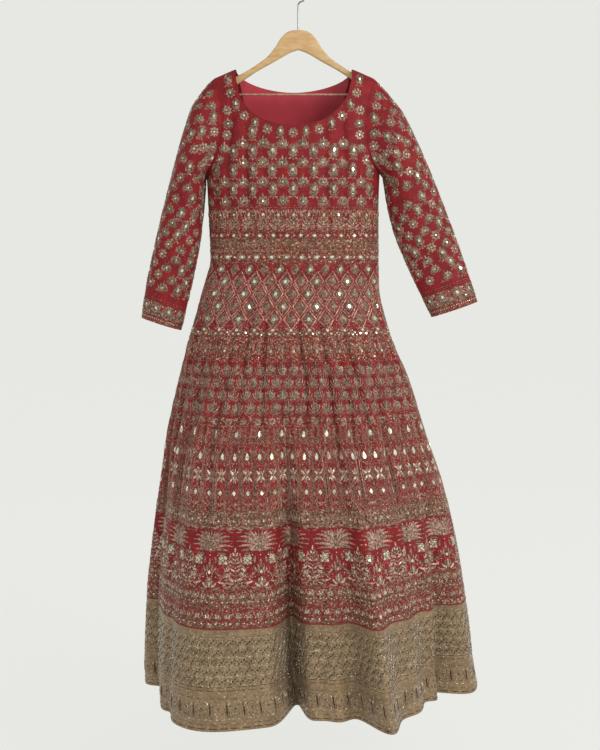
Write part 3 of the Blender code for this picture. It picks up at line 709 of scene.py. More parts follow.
def roll(middle, travel, half, height):
    # rings of three points along a thread: left foot, crest, right foot
    travel = travel / np.linalg.norm(travel, axis=1, keepdims=True)
    left = np.stack((-travel[:, 1], travel[:, 0]), axis=1)
    points = np.zeros((len(middle), 3, 3))
    points[:, 0, :2] = middle + left * half
    points[:, 1, :2] = middle
    points[:, 2, :2] = middle - left * half
    points[:, :, 2] = (-thread["sink"], height, -thread["sink"])
    return points.reshape(-1, 3)


def rollFaces(pairs):
    # the three sides between rings that begin at points a and b
    faces = []
    for a, b in pairs:
        for p, q, r, s in ((a + 1, b + 1, b, a), (a + 1, a + 2, b + 2, b + 1), (a, b, b + 2, a + 2)):
            faces += [(p, q, r), (p, r, s)]
    return faces


def shapeOf(points, faces, finish, tilt=None):
    return {"points": points, "faces": np.array(faces), "finish": finish, "tilt": tilt}


def ridge(path, widths, height, finish):
    # three-sided roll of thread that runs out to a point at both ends
    path = np.array(path, dtype=float)
    count = len(path) - 2
    half = 0.5 * np.broadcast_to(np.asarray(widths, dtype=float), (count,))[:, None]
    ends = [(*path[0], -thread["sink"]), (*path[-1], -thread["sink"])]
    points = np.concatenate((roll(path[1:-1], path[2:] - path[:-2], half, height), ends))
    first, last, a = 3 * count, 3 * count + 1, 3 * (count - 1)
    faces = [(first, 1, 0), (first, 2, 1), (first, 0, 2)]
    faces += rollFaces((3 * step, 3 * step + 3) for step in range(count - 1))
    faces += [(a + 1, last, a), (a + 1, a + 2, last), (a, last, a + 2)]
    return shapeOf(points, faces, finish)


def line(path, finish="rose", width=None):
    return ridge(path, (width or thread["line"]) * thread["lineSpread"], thread["lineHeight"], finish)


def stretch(reach, finish, width, count=4):
    # short straight length of couching
    path = [(-reach + 2.0 * reach * step / count, 0.0) for step in range(count + 1)]
    return [ridge(path, width, thread["lineHeight"], finish)]


def curl(*numbers, finish="rose", count=5):
    # line from a start past a control point to an end, with its width last if it has its own
    path = bend(numbers[:2], numbers[2:4], numbers[4:6], count)
    return line(path, finish, numbers[6] if len(numbers) > 6 else None)


def leaves(finish, *rows, count=5):
    # each row has a start, a control point, a tip and a width
    t = np.linspace(0.0, 1.0, count)[1:-1]
    made = []
    for row in rows:
        path = bend(row[:2], row[2:4], row[4:6], count)
        widths = thread["leafSpread"] * row[6] * np.sin(np.pi * t ** 0.85) ** 0.7
        made.append(ridge(path, widths, thread["leafHeight"], finish))
    return made


def hoop(outline, width, height, finish):
    # closed line
    outline = np.array(outline, dtype=float)
    count = len(outline)
    travel = np.roll(outline, -1, axis=0) - np.roll(outline, 1, axis=0)
    points = roll(outline, travel, 0.5 * width * thread["hoopSpread"], height)
    return shapeOf(points, rollFaces((3 * step, 3 * ((step + 1) % count)) for step in range(count)), finish)


def plate(outline, height, inset, finish, domed=False):
    # raised flat piece, such as a mirror or a filled shape; its outline runs anticlockwise
    outline = np.array(outline, dtype=float)
    count = len(outline)
    centre = outline.mean(axis=0)
    points = np.zeros((2 * count + 1, 3))
    points[:count, :2] = outline
    points[:count, 2] = -thread["sink"]
    points[count:-1, :2] = outline + (centre - outline) * inset
    points[count:-1, 2] = height
    points[-1] = (*centre, height * (1.35 if domed else 1.0))
    faces = []
    for step in range(count):
        after = (step + 1) % count
        faces += [(step, after, count + after), (step, count + after, count + step)]
        faces += [(count + step, count + after, 2 * count)]
    faces += [(0, step + 1, step) for step in range(1, count - 1)]
    tilt = np.zeros((2 * count + 1, 2))
    if finish == "mirror":
        tilt[count:] = points[count:, :2] - centre
    return shapeOf(points, faces, finish, tilt)


def oval(u, v, halfWidth, halfHeight, sides=8, turn=0.0):
    angle = np.linspace(0.0, 2.0 * math.pi, sides, endpoint=False) + math.radians(turn)
    return np.stack((u + halfWidth * np.cos(angle), v + halfHeight * np.sin(angle)), axis=1)


def teardrop(u, v, halfWidth, halfHeight):
    # point upwards
    rows = ((0.0, -1.0), (0.62, -0.82), (1.0, -0.30), (0.72, 0.30), (0.0, 1.0),
            (-0.72, 0.30), (-1.0, -0.30), (-0.62, -0.82))
    return [(u + a * halfWidth, v + b * halfHeight) for a, b in rows]


def mirrorPlate(outline, height=0.95):
    return plate(outline, height, 0.16, "mirror")


def backing(half):
    # low filled ground of close stitches that the lines of a motif lie on
    whole = [*half, *((-u, v) for u, v in reversed(half) if u > 0.0)]
    return plate(whole[::-1], 0.38, 0.08, "couched")


def sequin(u, v, radius=1.25):
    return plate(oval(u, v, radius, radius, 5, 90.0), 0.8, 0.25, "mirror")


def flip(shape):
    tilt = shape["tilt"]
    if tilt is not None:
        tilt = tilt * (-1.0, 1.0)
    return shapeOf(shape["points"] * (-1.0, 1.0, 1.0), shape["faces"][:, ::-1], shape["finish"], tilt)


def both(*shapes):
    # each shape with its twin across the middle
    return [*shapes, *(flip(shape) for shape in shapes)]


def moved(shapes, u=0.0, v=0.0, scale=1.0, turn=0.0):
    c, s = math.cos(math.radians(turn)), math.sin(math.radians(turn))
    made = []
    for shape in shapes:
        points = shape["points"].copy()
        flat = points[:, :2] * scale
        points[:, 0] = flat[:, 0] * c - flat[:, 1] * s + u
        points[:, 1] = flat[:, 0] * s + flat[:, 1] * c + v
        made.append({**shape, "points": points})
    return made


def sleeveFrames(surface, places):
    # what a millimetre across and down the arm is in the surface's own units, at each place
    normals = surface(places[:, 0], places[:, 1])[1]
    slopes = []
    for step in ((0.008, 0.0), (0.0, 0.003)):
        after, before = places + step, places - step
        rise = surface(after[:, 0], after[:, 1])[0] - surface(before[:, 0], before[:, 1])[0]
        slopes.append(rise / (2.0 * sum(step)))
    byShare, byAlong = slopes
    arm = byAlong.mean(axis=0)
    down = arm - normals * (normals @ arm)[:, None]
    down = down / np.linalg.norm(down, axis=1, keepdims=True)
    across = np.cross(normals, down)
    across = across * np.sign(np.sum(across * byShare, axis=1))[:, None]
    slopes = np.stack((byShare, byAlong), axis=2)
    wanted = np.stack((across, down), axis=2)
    return 0.001 * np.linalg.pinv(slopes) @ wanted


def keptApart(surface, places, gap):
    # leaves out a place that would crowd one before it
    skin = surface(places[:, 0], places[:, 1])[0]
    kept = []
    for index, point in enumerate(skin):
        if all(np.linalg.norm(point - skin[other]) > gap for other in kept):
            kept.append(index)
    return places[kept]


def newZone(name):
    return {"name": name, "points": [], "faces": [], "finishes": [], "count": 0,
            "mirrorPoints": [], "mirrorFaces": [], "mirrorCount": 0}


def sew(zone, surface, motif, places, uScale=0.001, vScale=0.001, jitter=0.0, frames=None):
    # copies a motif to places (across, along); uScale turns a millimetre into the surface's own unit
    places = np.atleast_2d(np.asarray(places, dtype=float))
    count = len(places)
    uScale = np.broadcast_to(np.asarray(uScale, dtype=float), (count,))[:, None]
    vScale = np.broadcast_to(np.asarray(vScale, dtype=float), (count,))[:, None]
    turn = chance.normal(0.0, jitter, count)[:, None]
    c, s = np.cos(turn), np.sin(turn)
    lean = chance.uniform(-thread["lean"], thread["lean"], (count, 2))
    laid = []
    for shape in motif:
        points, tilt = shape["points"], shape["tilt"]
        u, v = points[:, 0][None, :], points[:, 1][None, :]
        right, down = u * c - v * s, -(u * s + v * c)
        if frames is None:
            across = places[:, :1] + right * uScale
            along = places[:, 1:2] + down * vScale
        else:
            across = places[:, :1] + right * frames[:, 0, :1] + down * frames[:, 0, 1:]
            along = places[:, 1:2] + right * frames[:, 1, :1] + down * frames[:, 1, 1:]
        height = np.repeat(points[:, 2][None, :], count, axis=0)
        if tilt is not None:
            height = height + tilt[:, 0] * lean[:, :1] + tilt[:, 1] * lean[:, 1:2]
            lean = np.roll(lean, 1, axis=0)
        skin, normals, inside = surface(across, along)
        laid.append((shape, skin + normals * height[..., None] * 0.001, inside.all(axis=1)))
    # no stray petals where a panel ends
    whole = np.mean([inside for _, _, inside in laid], axis=0) > thread["whole"]
    for shape, skin, inside in laid:
        kept = np.flatnonzero(inside & whole)
        if len(kept) == 0:
            continue
        placed = skin[kept]
        size = skin.shape[1]
        glass = shape["finish"] == "mirror"
        base = zone["mirrorCount"] if glass else zone["count"]
        starts = base + size * np.arange(len(kept))[:, None, None]
        faces = (shape["faces"][None] + starts).reshape(-1, 3)
        zone["mirrorPoints" if glass else "points"].append(placed.reshape(-1, 3))
        zone["mirrorFaces" if glass else "faces"].append(faces)
        if glass:
            zone["mirrorCount"] += size * len(kept)
        else:
            zone["count"] += size * len(kept)
            finish = list(zariFinishes).index(shape["finish"])
            zone["finishes"].append(np.full(len(faces), finish))


def finishZone(zone):
    made = []
    if zone["points"]:
        piece = finishMesh(zone["name"] + "_zari", np.concatenate(zone["points"]),
                           np.concatenate(zone["faces"]).tolist(),
                           tuple(zariFinishes.values()), angle=60.0)
        finishes = np.concatenate(zone["finishes"]).astype(np.int32)
        piece.data.polygons.foreach_set("material_index", finishes)
        made.append(piece)
    if zone["mirrorPoints"]:
        piece = finishMesh(zone["name"] + "_mirrors", np.concatenate(zone["mirrorPoints"]),
                           np.concatenate(zone["mirrorFaces"]).tolist(), mirror, angle=20.0)
        made.append(piece)
    for piece in made:
        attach(piece, "root")
        print("  " + piece.name, len(piece.data.polygons))
    return made


def palmette():
    # pointed ogee with an oval mirror, petals inside it and sepals that curl out at its foot
    return [
        *both(
            curl(0, 19.5, 10.5, 12.5, 10.9, 3, 1.2), curl(10.9, 3, 10.8, -8, 1.5, -13, 1.2),
            *leaves("antique", (1, 15.5, 7.5, 10.5, 7.6, 2, 1.9), (0.5, -10, 8.2, -7.5, 7.6, 3, 2.3)),
            *leaves("rose", (1, -14, 8.5, -13, 10.5, -18.5, 2.8)),
        ),
        *leaves("antique", (0, -19.5, 0, -16, 0, -12, 3)),
        backing(((0, 18.5), (6.6, 12), (9.4, 4), (8.8, -5), (4.6, -11), (0, -13))),
        plate(oval(0, 1.5, 4.6, 8, 10), thread["fillHeight"], 0.2, "antique"),
        mirrorPlate(oval(0, 3.5, 3, 5), 1.2), sequin(0, -5.4, 1),
    ]


def lotusBud():
    # open lotus in a round bowl that stands between the palmettes
    return [
        *both(
            *leaves("antique", (0.6, -8.5, 7, -4, 5.8, 8.5, 2.3), (1.5, -9.5, 11.5, -7, 10.4, 3, 2.1)),
            curl(0, -12.5, 10, -12.5, 12, -2.5, 1.1),
        ),
        *leaves("antique", (0, -9, 0, 2, 0, 13.5, 3)),
        backing(((0, 9), (3.4, 4.5), (6.6, 6.5), (8.2, 1.5), (10, -2.5), (6.8, -9), (0, -11.5))),
        mirrorPlate(oval(0, -2.5, 1.9, 1.9, 6), 1.3),
    ]


def petals(root, middle, tipU, tipV, width, turn):
    # eight petals round a centre
    made = []
    for step in range(8):
        angle = math.radians(45 * step + turn)
        c, s = math.cos(angle), math.sin(angle)
        petal = (root * c, root * s, middle * c, middle * s, tipU * c, tipV * s, width)
        made += leaves("antique", petal, count=4)
    return made


def flowerButi():
    # eight petals round a mirror
    return [*petals(2.4, 6, 10.6, 11.2, 4.6, 22.5), hoop(oval(0, 0, 4, 4), 1.2, 0.9, "rose"),
            mirrorPlate(oval(0, 0, 2.5, 2.5, 6), 1.2)]


def plumeBorder():
    # alternate plume and lotus above the waist, 46 mm tall
    return [
        *both(
            curl(0, 23, 10, 13, 8, 2),
            *leaves("antique", (0, -6, 9, -4, 7, 9, 3.6), (0, -12, 12.5, -10, 12, 3, 3.2)),
            *leaves("rose", (0, -17, 11, -18, 14.5, -7, 3.4)),
            *leaves("antique", (2, -20, 9, -22.5, 14.8, -17, 3), (14, 20, 17, 12, 15, 4, 3)),
            *leaves("rose", (9, 12, 12, 16, 12.5, 21.5, 2.6)),
        ),
        *leaves("antique", (0, -20, 0, -12, 0, -3, 4.4)), plate(oval(0, 7, 4.4, 8, 8), 0.7, 0.2, "antique"),
        mirrorPlate(oval(0, 9.5, 2.4, 3.2, 8), 1.2), sequin(0, -9, 1.5), sequin(7.5, 17, 1),
        sequin(-7.5, 17, 1),
    ]


def diamondOutline(halfWidth, halfHeight, v=0.0):
    return [
        (halfWidth, v), (0.5 * halfWidth, v + 0.5 * halfHeight), (0, v + halfHeight),
        (-0.5 * halfWidth, v + 0.5 * halfHeight), (-halfWidth, v), (-0.5 * halfWidth, v - 0.5 * halfHeight),
        (0, v - halfHeight), (0.5 * halfWidth, v - 0.5 * halfHeight),
    ]


def jewelDiamond():
    # large lattice field: two pink outlines round a small filled diamond with a mirror
    return [
        hoop(diamondOutline(14.6, 21.8), 3, 1, "rose"),
        hoop(diamondOutline(10.6, 14.8), 1.3, 0.85, "antique"),
        plate(diamondOutline(10, 14), 0.5, 0.12, "couched"), hoop(oval(0, 0, 5.7, 6.7, 8), 1.3, 1, "pale"),
        mirrorPlate(oval(0, 0, 4, 4.9), 1.3),
    ]


def plainDiamond():
    return [
        hoop(diamondOutline(14.6, 21.8), 3, 1, "rose"), hoop(diamondOutline(10.2, 14.2), 1.3, 0.85, "rose"),
        plate(diamondOutline(9.4, 13.2), 0.5, 0.12, "couched"),
        hoop(diamondOutline(4.8, 6.6), 1, 0.85, "antique"),
        plate(oval(0, 0, 1.4, 1.8, 6), 0.9, 0.25, "antique", True),
    ]


def mirrorCluster():
    return [
        *both(
            mirrorPlate(oval(5.6, -4.6, 2.3, 2.3, 6), 1.1),
            hoop(oval(5.6, -4.6, 3.3, 3.3, 6), 1.1, 0.8, "rose"), *leaves("rose", (2, 9, 8, 8, 11, 1, 2.4)),
        ),
        hoop(oval(0, 3, 4.4, 4.8, 8), 1.3, 0.9, "rose"), mirrorPlate(oval(0, 3, 3.2, 3.6, 8), 1.2),
    ]


def combAndPear(large):
    # comb of short stitches with a pear drop hanging from it, 50 mm tall in a 24 mm cell
    size = 1 if large else 0.78
    teeth = []
    for index, u in enumerate((-9, -4.5, 0, 4.5, 9)):
        tooth = (u, 14, u, 19, u, 24.5 - 0.16 * u * u, 2.4)
        teeth += leaves("rose" if index % 2 else "antique", tooth, count=4)
    pear = [
        *both(
            curl(0, 12, 7 * size, 4, 6.6 * size, -6), curl(6.6 * size, -6, 6 * size, -14, 0, -17 * size),
            *leaves("antique", (0, 6, 4 * size, 0, 2.6 * size, -9, 2.6), (11, 10, 12, 0, 10.5, -12, 2.2)),
        ),
        plate(teardrop(0, -5.5, 4.2 * size, 8 * size), 0.7, 0.25, "antique", True), sequin(0, -20.5, 1.2),
    ]
    if large:
        pear.append(mirrorPlate(oval(0, -8, 2.2, 2.8, 6), 1.3))
    return teeth + pear


def skirtLotus():
    # pointed leaves that rise from a round bowl and reach between those of the row above
    return [
        *both(
            *leaves("antique", (0.6, -10, 6.6, -3, 5.4, 10.5, 2.2)),
            *leaves("rose", (1.2, -11, 11.4, -6.5, 10.6, 5, 2.2)),
            *leaves("antique", (1, -12.5, 12.5, -12.5, 12.2, -2.5, 1.7)),
            curl(0, -15, 9, -15, 12.4, -7.5, 1),
        ),
        *leaves("antique", (0, -10, 0, 2, 0, 16, 2.8)),
        backing(((0, 12), (2.2, 4), (5.4, 9), (6.4, 1), (10.6, 3.5), (9.4, -6), (5, -11.5), (0, -13))),
    ]


def starScallop():
    # eight-petalled star above a scallop
    return [*petals(1.5, 4.5, 9.4, 9.4, 4, 0), plate(oval(0, 0, 1.6, 1.6, 5), 1.2, 0.2, "rose", True),
            *both(curl(0, -9, 9, -12, 15.5, -5, 1.5), *leaves("antique", (12, 9, 16, 5, 15, -1, 2.8)))]


def featherColumn(count, halfWidth, pitch, top):
    # chevrons of slim leaves on a stem, points down
    shapes = [curl(0, top, 0.2, top - 0.5 * pitch * count, 0, top - pitch * count, 1.2, finish="antique")]
    for step in range(count):
        v = top - pitch * (step + 1)
        shapes += both(
            *leaves(
                "antique" if step % 2 else "rose",
                (0.3, v, 0.5 * halfWidth, v + 1.5, halfWidth, v + 1.15 * halfWidth, 2.3), count=4,
            ),
        )
    return shapes


def mirrorDrop(v, halfWidth=5.0, halfHeight=8.0):
    return [
        hoop(teardrop(0, v, halfWidth + 2, halfHeight + 2.6), 1.2, 0.9, "rose"),
        mirrorPlate(teardrop(0, v, halfWidth, halfHeight), 1.25),
    ]


def nicheMotif():
    # tall pointed niche, 128 mm by 36 mm: mirror drop, silver cross and nested diamonds
    shapes = both(
        line([(15.2, -62), (15.2, -40), (15.2, -10), (15.2, 20), (14, 38), (8, 52), (0, 62)], "rose", 1.6),
        line([(11.9, -60), (11.9, -38), (11.9, -8), (11.9, 18), (10.6, 34), (6, 46), (0, 54)], "rose", 1.3),
        *leaves("antique", (18, -62, 18, -10, 18, 34, 3.4), count=7),
        *leaves("antique", (17.9, 36, 14.5, 46, 17.9, 58, 3.4)),
        *leaves("rose", (17.6, 44, 10, 52, 8, 63, 2.8)),
        *leaves(
            "pale", (0, 4, 7.5, 7, 12.6, 16, 4.4), (0, 2, 7.5, -1, 12.6, -11, 4.4),
            (1, 5, 2.2, 12, 2.6, 20, 2.2), (1, 1, 2.2, -6, 2.6, -14, 2.2), count=4,
        ),
        *leaves("rose", (2, 3, 6, 3.4, 9.6, 3, 2), count=4),
        *leaves("antique", (3, -54, 8, -56, 10.4, -48, 3)),
        *leaves("rose", (0.5, -60, 4, -55, 2.5, -49, 3)),
        *leaves("rose", (2, 27, 6, 26, 9.4, 32, 2.4), count=4),
    )
    shapes += mirrorDrop(42, 6.2, 8.8)
    for half in (13.4, 9.4):
        shapes.append(hoop(diamondOutline(half, half * 1.25, -32), 1.6, 0.9, "rose"))
    shapes.append(mirrorPlate(diamondOutline(6.2, 6.6, -32)[::2], 1.2))
    shapes.append(plate(oval(0, 3, 1.6, 1.8, 6), 1.2, 0.2, "pale", True))
    return shapes


def goldBand():
    # dense band, 32 mm tall in a 42 mm cell: mirror triangles between small nested diamonds
    return [
        *both(
            *leaves("antique", (2, -14, 12, -15.5, 19, -12, 3), (8, -10, 13, -2, 12, 9, 3.2)),
            *leaves("rose", (12.5, -9, 17.5, -2, 17, 8, 3)),
            *leaves("antique", (5.5, 13, 9.5, 9, 9, 2, 2.6), (14, 14, 19, 11, 20, 3, 2.6)),
        ),
        hoop(diamondOutline(7.4, 8.6), 1.3, 0.9, "rose"), hoop(diamondOutline(4.6, 5.4), 1.1, 0.9, "pale"),
        mirrorPlate([(0, 4), (-3.3, -2.4), (3.3, -2.4)], 1.3), sequin(0, 13, 1.3), sequin(0, -12, 1.3),
    ]


def palmFan():
    # fan of fronds that arch over and droop at their tips, 84 mm wide and 44 mm tall
    fronds = (
        # control u, control v, tip u, tip v
        (3, 8, 9.5, 22), (8, 14, 20, 21), (13, 17, 31, 17), (18, 15, 41, 9.5), (19, 8, 48, 0.5),
        (17, -1, 47.5, -9), (14, -9, 40, -17.5),
    )
    shapes = [*leaves("antique", (0, -18, 0, 2, 0, 25, 3.6), count=6)]
    for index, (controlU, controlV, tipU, tipV) in enumerate(fronds):
        root = -6 - 1.9 * index
        shapes += both(
            *leaves(
                "rose" if index % 2 else "antique", (0.6, root, controlU, controlV, tipU, tipV, 4.7),
                count=7,
            ),
        )
    shapes += both(
        *leaves("rose", (30, 23, 37, 21, 46.5, 25, 2.6)),
        *leaves("antique", (33, 19.5, 41, 17, 47.5, 17.5, 2.4), (12, -21.5, 24, -20, 33, -22.5, 2.4)),
    )
    shapes.append(backing(((0, 8), (4, 6), (10, 0), (12, -8), (9, -15), (0, -17.5))))
    shapes += [plate(oval(0, -15, 2.6, 3.6, 6), 1.1, 0.25, "pale", True), sequin(0, -4, 1.4)]
    return shapes


def squareFlower():
    # mirror flower with four square petals
    shapes = []
    for step in range(4):
        angle = 90 * step + 45
        shapes += moved(
            [plate([(2.6, -2.8), (8, -2.4), (9.4, 0), (8, 2.4), (2.6, 2.8)], 0.9, 0.22, "pale", True)],
            turn=angle,
        )
        shapes += moved([*leaves("rose", (3, 0, 6, 0.4, 9.6, 0, 2), count=4)], turn=angle + 45)
    shapes.append(mirrorPlate(oval(0, 0, 3, 3, 4, 45), 1.4))
    return shapes


def tallPlant():
    # plant of stacked leaves that narrow to a point, 74 mm tall
    shapes = [curl(0, -36, 0.5, 0, 0, 32, 1.2, finish="antique", count=6)]
    for index, v in enumerate((26, 18.5, 11, 3.5, -4.5, -13, -22)):
        half = (4.5, 7.5, 10, 12, 9, 11, 13)[index]
        shapes += both(
            *leaves(
                "antique" if index % 2 else "pale", (0.3, v - 6, 0.6 * half, v - 5.5, half, v + 2.5, 3),
            ),
        )
    shapes += both(*leaves("rose", (0.5, -34, 9, -38, 15, -29, 2.8), (14, 2, 17, 8, 15, 15, 2.4)))
    shapes += [*leaves("pale", (0, 26, 0, 31, 0, 39, 2.8), count=4), sequin(0, 12, 1.4), sequin(0, -4, 1.4)]
    return shapes


def scrollGarden():
    # scrolls, leaves and buds that fill the ground under the fan, 86 mm by 72 mm
    shapes = both(
        curl(0, -32, 4, 2, 14, 12, 1.4, finish="antique", count=7),
        curl(3, -24, 18, -26, 26, -6, 1.4, count=6), curl(26, -6, 29, 9, 18, 7, 1.3),
        curl(18, 7, 11, 3.8, 16.5, -3, 1.2), curl(30, -34, 42, -26, 34, -14, 1.3, finish="antique"),
        *leaves("antique", (9, 0, 15, -9, 22, -12, 3.6), (5, -8, 3, 4, 6, 15, 3.6)),
        *leaves("rose", (8, -3, 9, 5, 13, 8.5, 3.1)), *leaves("pale", (24, 0, 32, -2, 35, 8, 3.6)),
        *leaves("antique", (27, 4, 31, 9, 38, 13, 3.3), (22, -12, 30, -15, 37, -5, 3.6)),
        *leaves("pale", (13, -20, 24, -27, 33, -23, 3.6)), *leaves("rose", (31, 14, 37, 19, 33, 27, 3.3)),
        *leaves("antique", (35, 14, 41, 18, 41, 28, 3.3)),
        *leaves("rose", (29, -17, 38, -16, 41, -26, 3.3)), *leaves("pale", (1, -32, 9, -32, 12, -21, 3.8)),
        *leaves(
            "antique", (1, -34, 14, -39, 20, -30, 3.6), (0.6, -30, 6, -24, 4.5, -13, 3.6),
            (14, -14, 20, -14, 19, -5, 3.3), (22, -29, 28, -36, 37, -33, 3.6), (10, 14, 12, 22, 8, 30, 3.3),
            (33, 24, 38, 30, 36, 36, 3.1),
        ),
        *leaves("rose", (24, -20, 26, -26, 23, -31, 3.1)), sequin(29.5, 5, 1.5), sequin(11, -12, 1.4),
        sequin(37, -16, 1.3), sequin(20, -17, 1.2), sequin(14, 31, 1.3), sequin(27, -9, 1.2),
    )
    shapes += moved(squareFlower(), 23, 20, 1.12) + moved(squareFlower(), -23, 20, 1.12)
    shapes += [
        *leaves("pale", (0, -34, 0, -22, 0, -10, 3.2)), *leaves("antique", (0, 6, 0, 14, 0, 27, 3.8)),
        mirrorPlate(teardrop(0, -2, 2.8, 4.6), 1.3), sequin(0, 31, 1.5),
    ]
    return shapes


def borderSprig():
    # small triangle of leaves in the lower border, 20 mm wide and 16 mm tall
    return [
        *both(
            *leaves("pale", (0, -7, 4, -3, 3.4, 4, 2.6), count=4),
            *leaves("antique", (0, -7.5, 8, -6, 8, 0.5, 2.8), count=4),
            *leaves("rose", (9.8, 7, 9.8, 2, 9.8, -4, 1.8), count=4),
        ),
        *leaves("antique", (0, -7, 0, 0, 0, 8, 3.2), count=4),
    ]


def tissueCurl():
    # slanting scroll with a rosette and dark hearts, 20 mm by 20 mm
    return [
        curl(-8, -7.5, -11, 3, -2, 4.5, 1.1, finish="pale"),
        curl(8, 7.5, 11, -3, 2, -4.5, 1.2, finish="antique"),
        *leaves("pale", (-7, 8.5, -1, 10, 4, 6, 1.9), (7, -8.5, 1, -10, -4, -6, 1.9), count=4),
        # the dark hearts and dots: dark thread, deepened into painted shade beside the pale curls
        *leaves("dark", (2.5, 1, 6, 4.5, 6.5, 8.5, 1.9), (-2.5, -1, -6, -4.5, -6.5, -8.5, 1.9), count=4),
        plate(oval(0, 0, 2.2, 2.2, 6), 0.7, 0.2, "dark"),
        plate(oval(-8.8, 0.5, 1.7, 1.7, 5), 0.6, 0.2, "dark"),
    ]


def tissueArch():
    # arch with a square block in the lower border of the tissue, 34 mm by 40 mm
    shapes = both(
        line([(13.5, -18), (13.5, -8), (13, 4), (8, 13), (0, 18)], "antique", 1.5),
        # the dark uprights: dark thread, deepened into painted shade beside the arch
        line([(16.4, -19), (16.4, -4), (16.4, 10), (16.4, 19)], "dark", 1.3),
        *leaves("antique", (0.5, -12, 8, -10, 8.5, 0, 3), count=4),
        *leaves("pale", (2, -17, 7, -18, 11, -13, 2.4), (10.5, 18, 12.5, 13, 15, 11, 2.2), count=4),
    )
    shapes += [
        hoop(diamondOutline(4.4, 5, 4.5), 1.2, 0.8, "pale"),
        # the dark centre: dark thread, deepened into painted shade inside the pale diamond
        plate(oval(0, 4.5, 1.7, 1.9, 6), 0.7, 0.2, "dark"),
        *leaves("antique", (0, -16, 0, -9, 0, -2.5, 3), count=4),
    ]
    return shapes


def skirtRow(zone, motif, count, drop, cell, phase=0.0, jitter=0.0, step=1, tall=0.001):
    # count cells to the round; the motif is drawn for a cell this many millimetres wide
    shares = ((np.arange(count) + phase) / count - 0.5)[::step]
    places = np.stack((shares, np.full(len(shares), drop)), axis=1)
    sew(zone, onSkirt, motif, places, 1.0 / (count * cell), tall, jitter)


def sewSkirt(name, rows):
    zone = newZone(name)
    for row in rows:
        skirtRow(zone, *row)
    return finishZone(zone)


print("sewing the skirt")
lattice = {"count": 26, "cell": 33.5, "phase": 12.09, "jitter": 0.015, "clusterCell": 33.0}
upperRows = []
for index, drop in enumerate((0.619, 0.6445, 0.671, 0.6975, 0.7245)):
    for step, motif in enumerate((jewelDiamond(), plainDiamond())):
        phase = lattice["phase"] + 0.5 * (index % 2) + step
        upperRows.append((motif, lattice["count"], drop, lattice["cell"], phase, lattice["jitter"], 2))
upperRows += [
    # motif, count, drop, cell, phase, jitter, step, a drawn millimetre's height
    (mirrorCluster(), lattice["count"], 0.7505, lattice["clusterCell"], lattice["phase"], 0.05),
    (moved(mirrorCluster(), scale=0.62), lattice["count"], 0.7545, lattice["clusterCell"],
     lattice["phase"] + 0.5, 0.05),
    (combAndPear(True), 44, 0.784, 25.0, 0.32, 0.02, 2),
    (combAndPear(False), 44, 0.784, 25.0, 1.32, 0.02, 2),
    (skirtLotus(), 48, 0.8275, 25.5, 0.2, 0.04, 1, 0.00114),
    (skirtLotus(), 48, 0.8535, 25.5, 0.7, 0.04, 1, 0.00114),
    (skirtLotus(), 48, 0.8795, 25.5, 0.2, 0.04, 1, 0.00114),
    (skirtLotus(), 48, 0.9065, 25.5, 0.7, 0.04, 1, 0.00114),
]
skirtUpper = sewSkirt("skirt_upper", upperRows)

niche = {"count": 58, "cell": 36.0, "phase": 0.10, "between": 0.60}
skirtNiches = sewSkirt("skirt_niches", [
    (starScallop(), 44, 0.937, 32.0, 0.6, 0.03),
    (mirrorDrop(0, 6.6, 8.2), niche["count"], 0.9615, niche["cell"], niche["phase"], 0.0, 2),
    (featherColumn(6, 14.5, 6.2, 16), niche["count"], 0.968, niche["cell"], niche["between"]),
    (featherColumn(3, 11, 6.2, 8), niche["count"], 0.973, niche["cell"], niche["phase"]),
    (nicheMotif(), niche["count"], 1.0495, niche["cell"], niche["phase"]),
    (featherColumn(4, 11, 6, 12), niche["count"], 1.108, niche["cell"], niche["between"]),
    (goldBand(), niche["count"], 1.1365, 40.5, niche["phase"]),
])

garden = {"count": 19, "cell": 88.0, "phase": 0.42, "between": 0.92}
skirtGarden = sewSkirt("skirt_garden", [
    (palmFan(), garden["count"], 1.178, 97.0, garden["phase"], 0.01, 1, 0.00108),
    (scrollGarden(), garden["count"], 1.2355, garden["cell"], garden["phase"], 0.01),
    (tallPlant(), garden["count"], 1.226, garden["cell"], garden["between"], 0.02),
    (moved(scrollGarden(), scale=0.52), garden["count"], 1.2535, garden["cell"], garden["between"], 0.05),
    (moved(squareFlower(), scale=0.8), 38, 1.209, 44.0, 1.34, 0.3),
    (borderSprig(), 104, 1.284, 21.0, 0.0, 0.05),
    ([sequin(0, 0, 1.6)], 208, 1.2975, 10.5),
    (borderSprig(), 104, 1.323, 21.4, 0.5, 0.04),
    ([mirrorPlate(oval(0, 0, 2.1, 1.7, 6))], 156, 1.3395, 14.5),
])

# Couched lines go round as short stretches that overlap a little.
couching = {"pieces": 120, "reach": 0.52}
lineRows = []
for drop, finish, width in (
    (0.6045, "rose", 1.4), (0.7385, "rose", 1.2), (0.759, "antique", 1.6), (0.8135, "rose", 1.4),
    (0.921, "rose", 1.3), (1.1165, "rose", 1.5), (1.1535, "antique", 2.0), (1.1205, "pale", 1.4),
    (1.2745, "rose", 1.4), (1.2925, "antique", 1.6), (1.3025, "antique", 1.6), (1.3085, "rose", 1.4),
    # dark lines: those at 1.464 and 1.471 are dark thread, partly painted shade through the dark finish; the
    # one at 1.5445 is a painted shadow along the hem's edge
    (1.3325, "antique", 1.4), (1.3425, "pale", 1.4), (1.366, "antique", 1.8), (1.464, "dark", 1.4),
    (1.471, "dark", 1.2), (1.486, "antique", 1.6), (1.536, "antique", 1.8), (1.5445, "dark", 2.2),
):
    span = 1000.0 * skirtRound(drop) / couching["pieces"]
    lineRows.append((stretch(couching["reach"] * span, finish, width), couching["pieces"], drop, span))
skirtLines = sewSkirt("skirt_lines", lineRows)

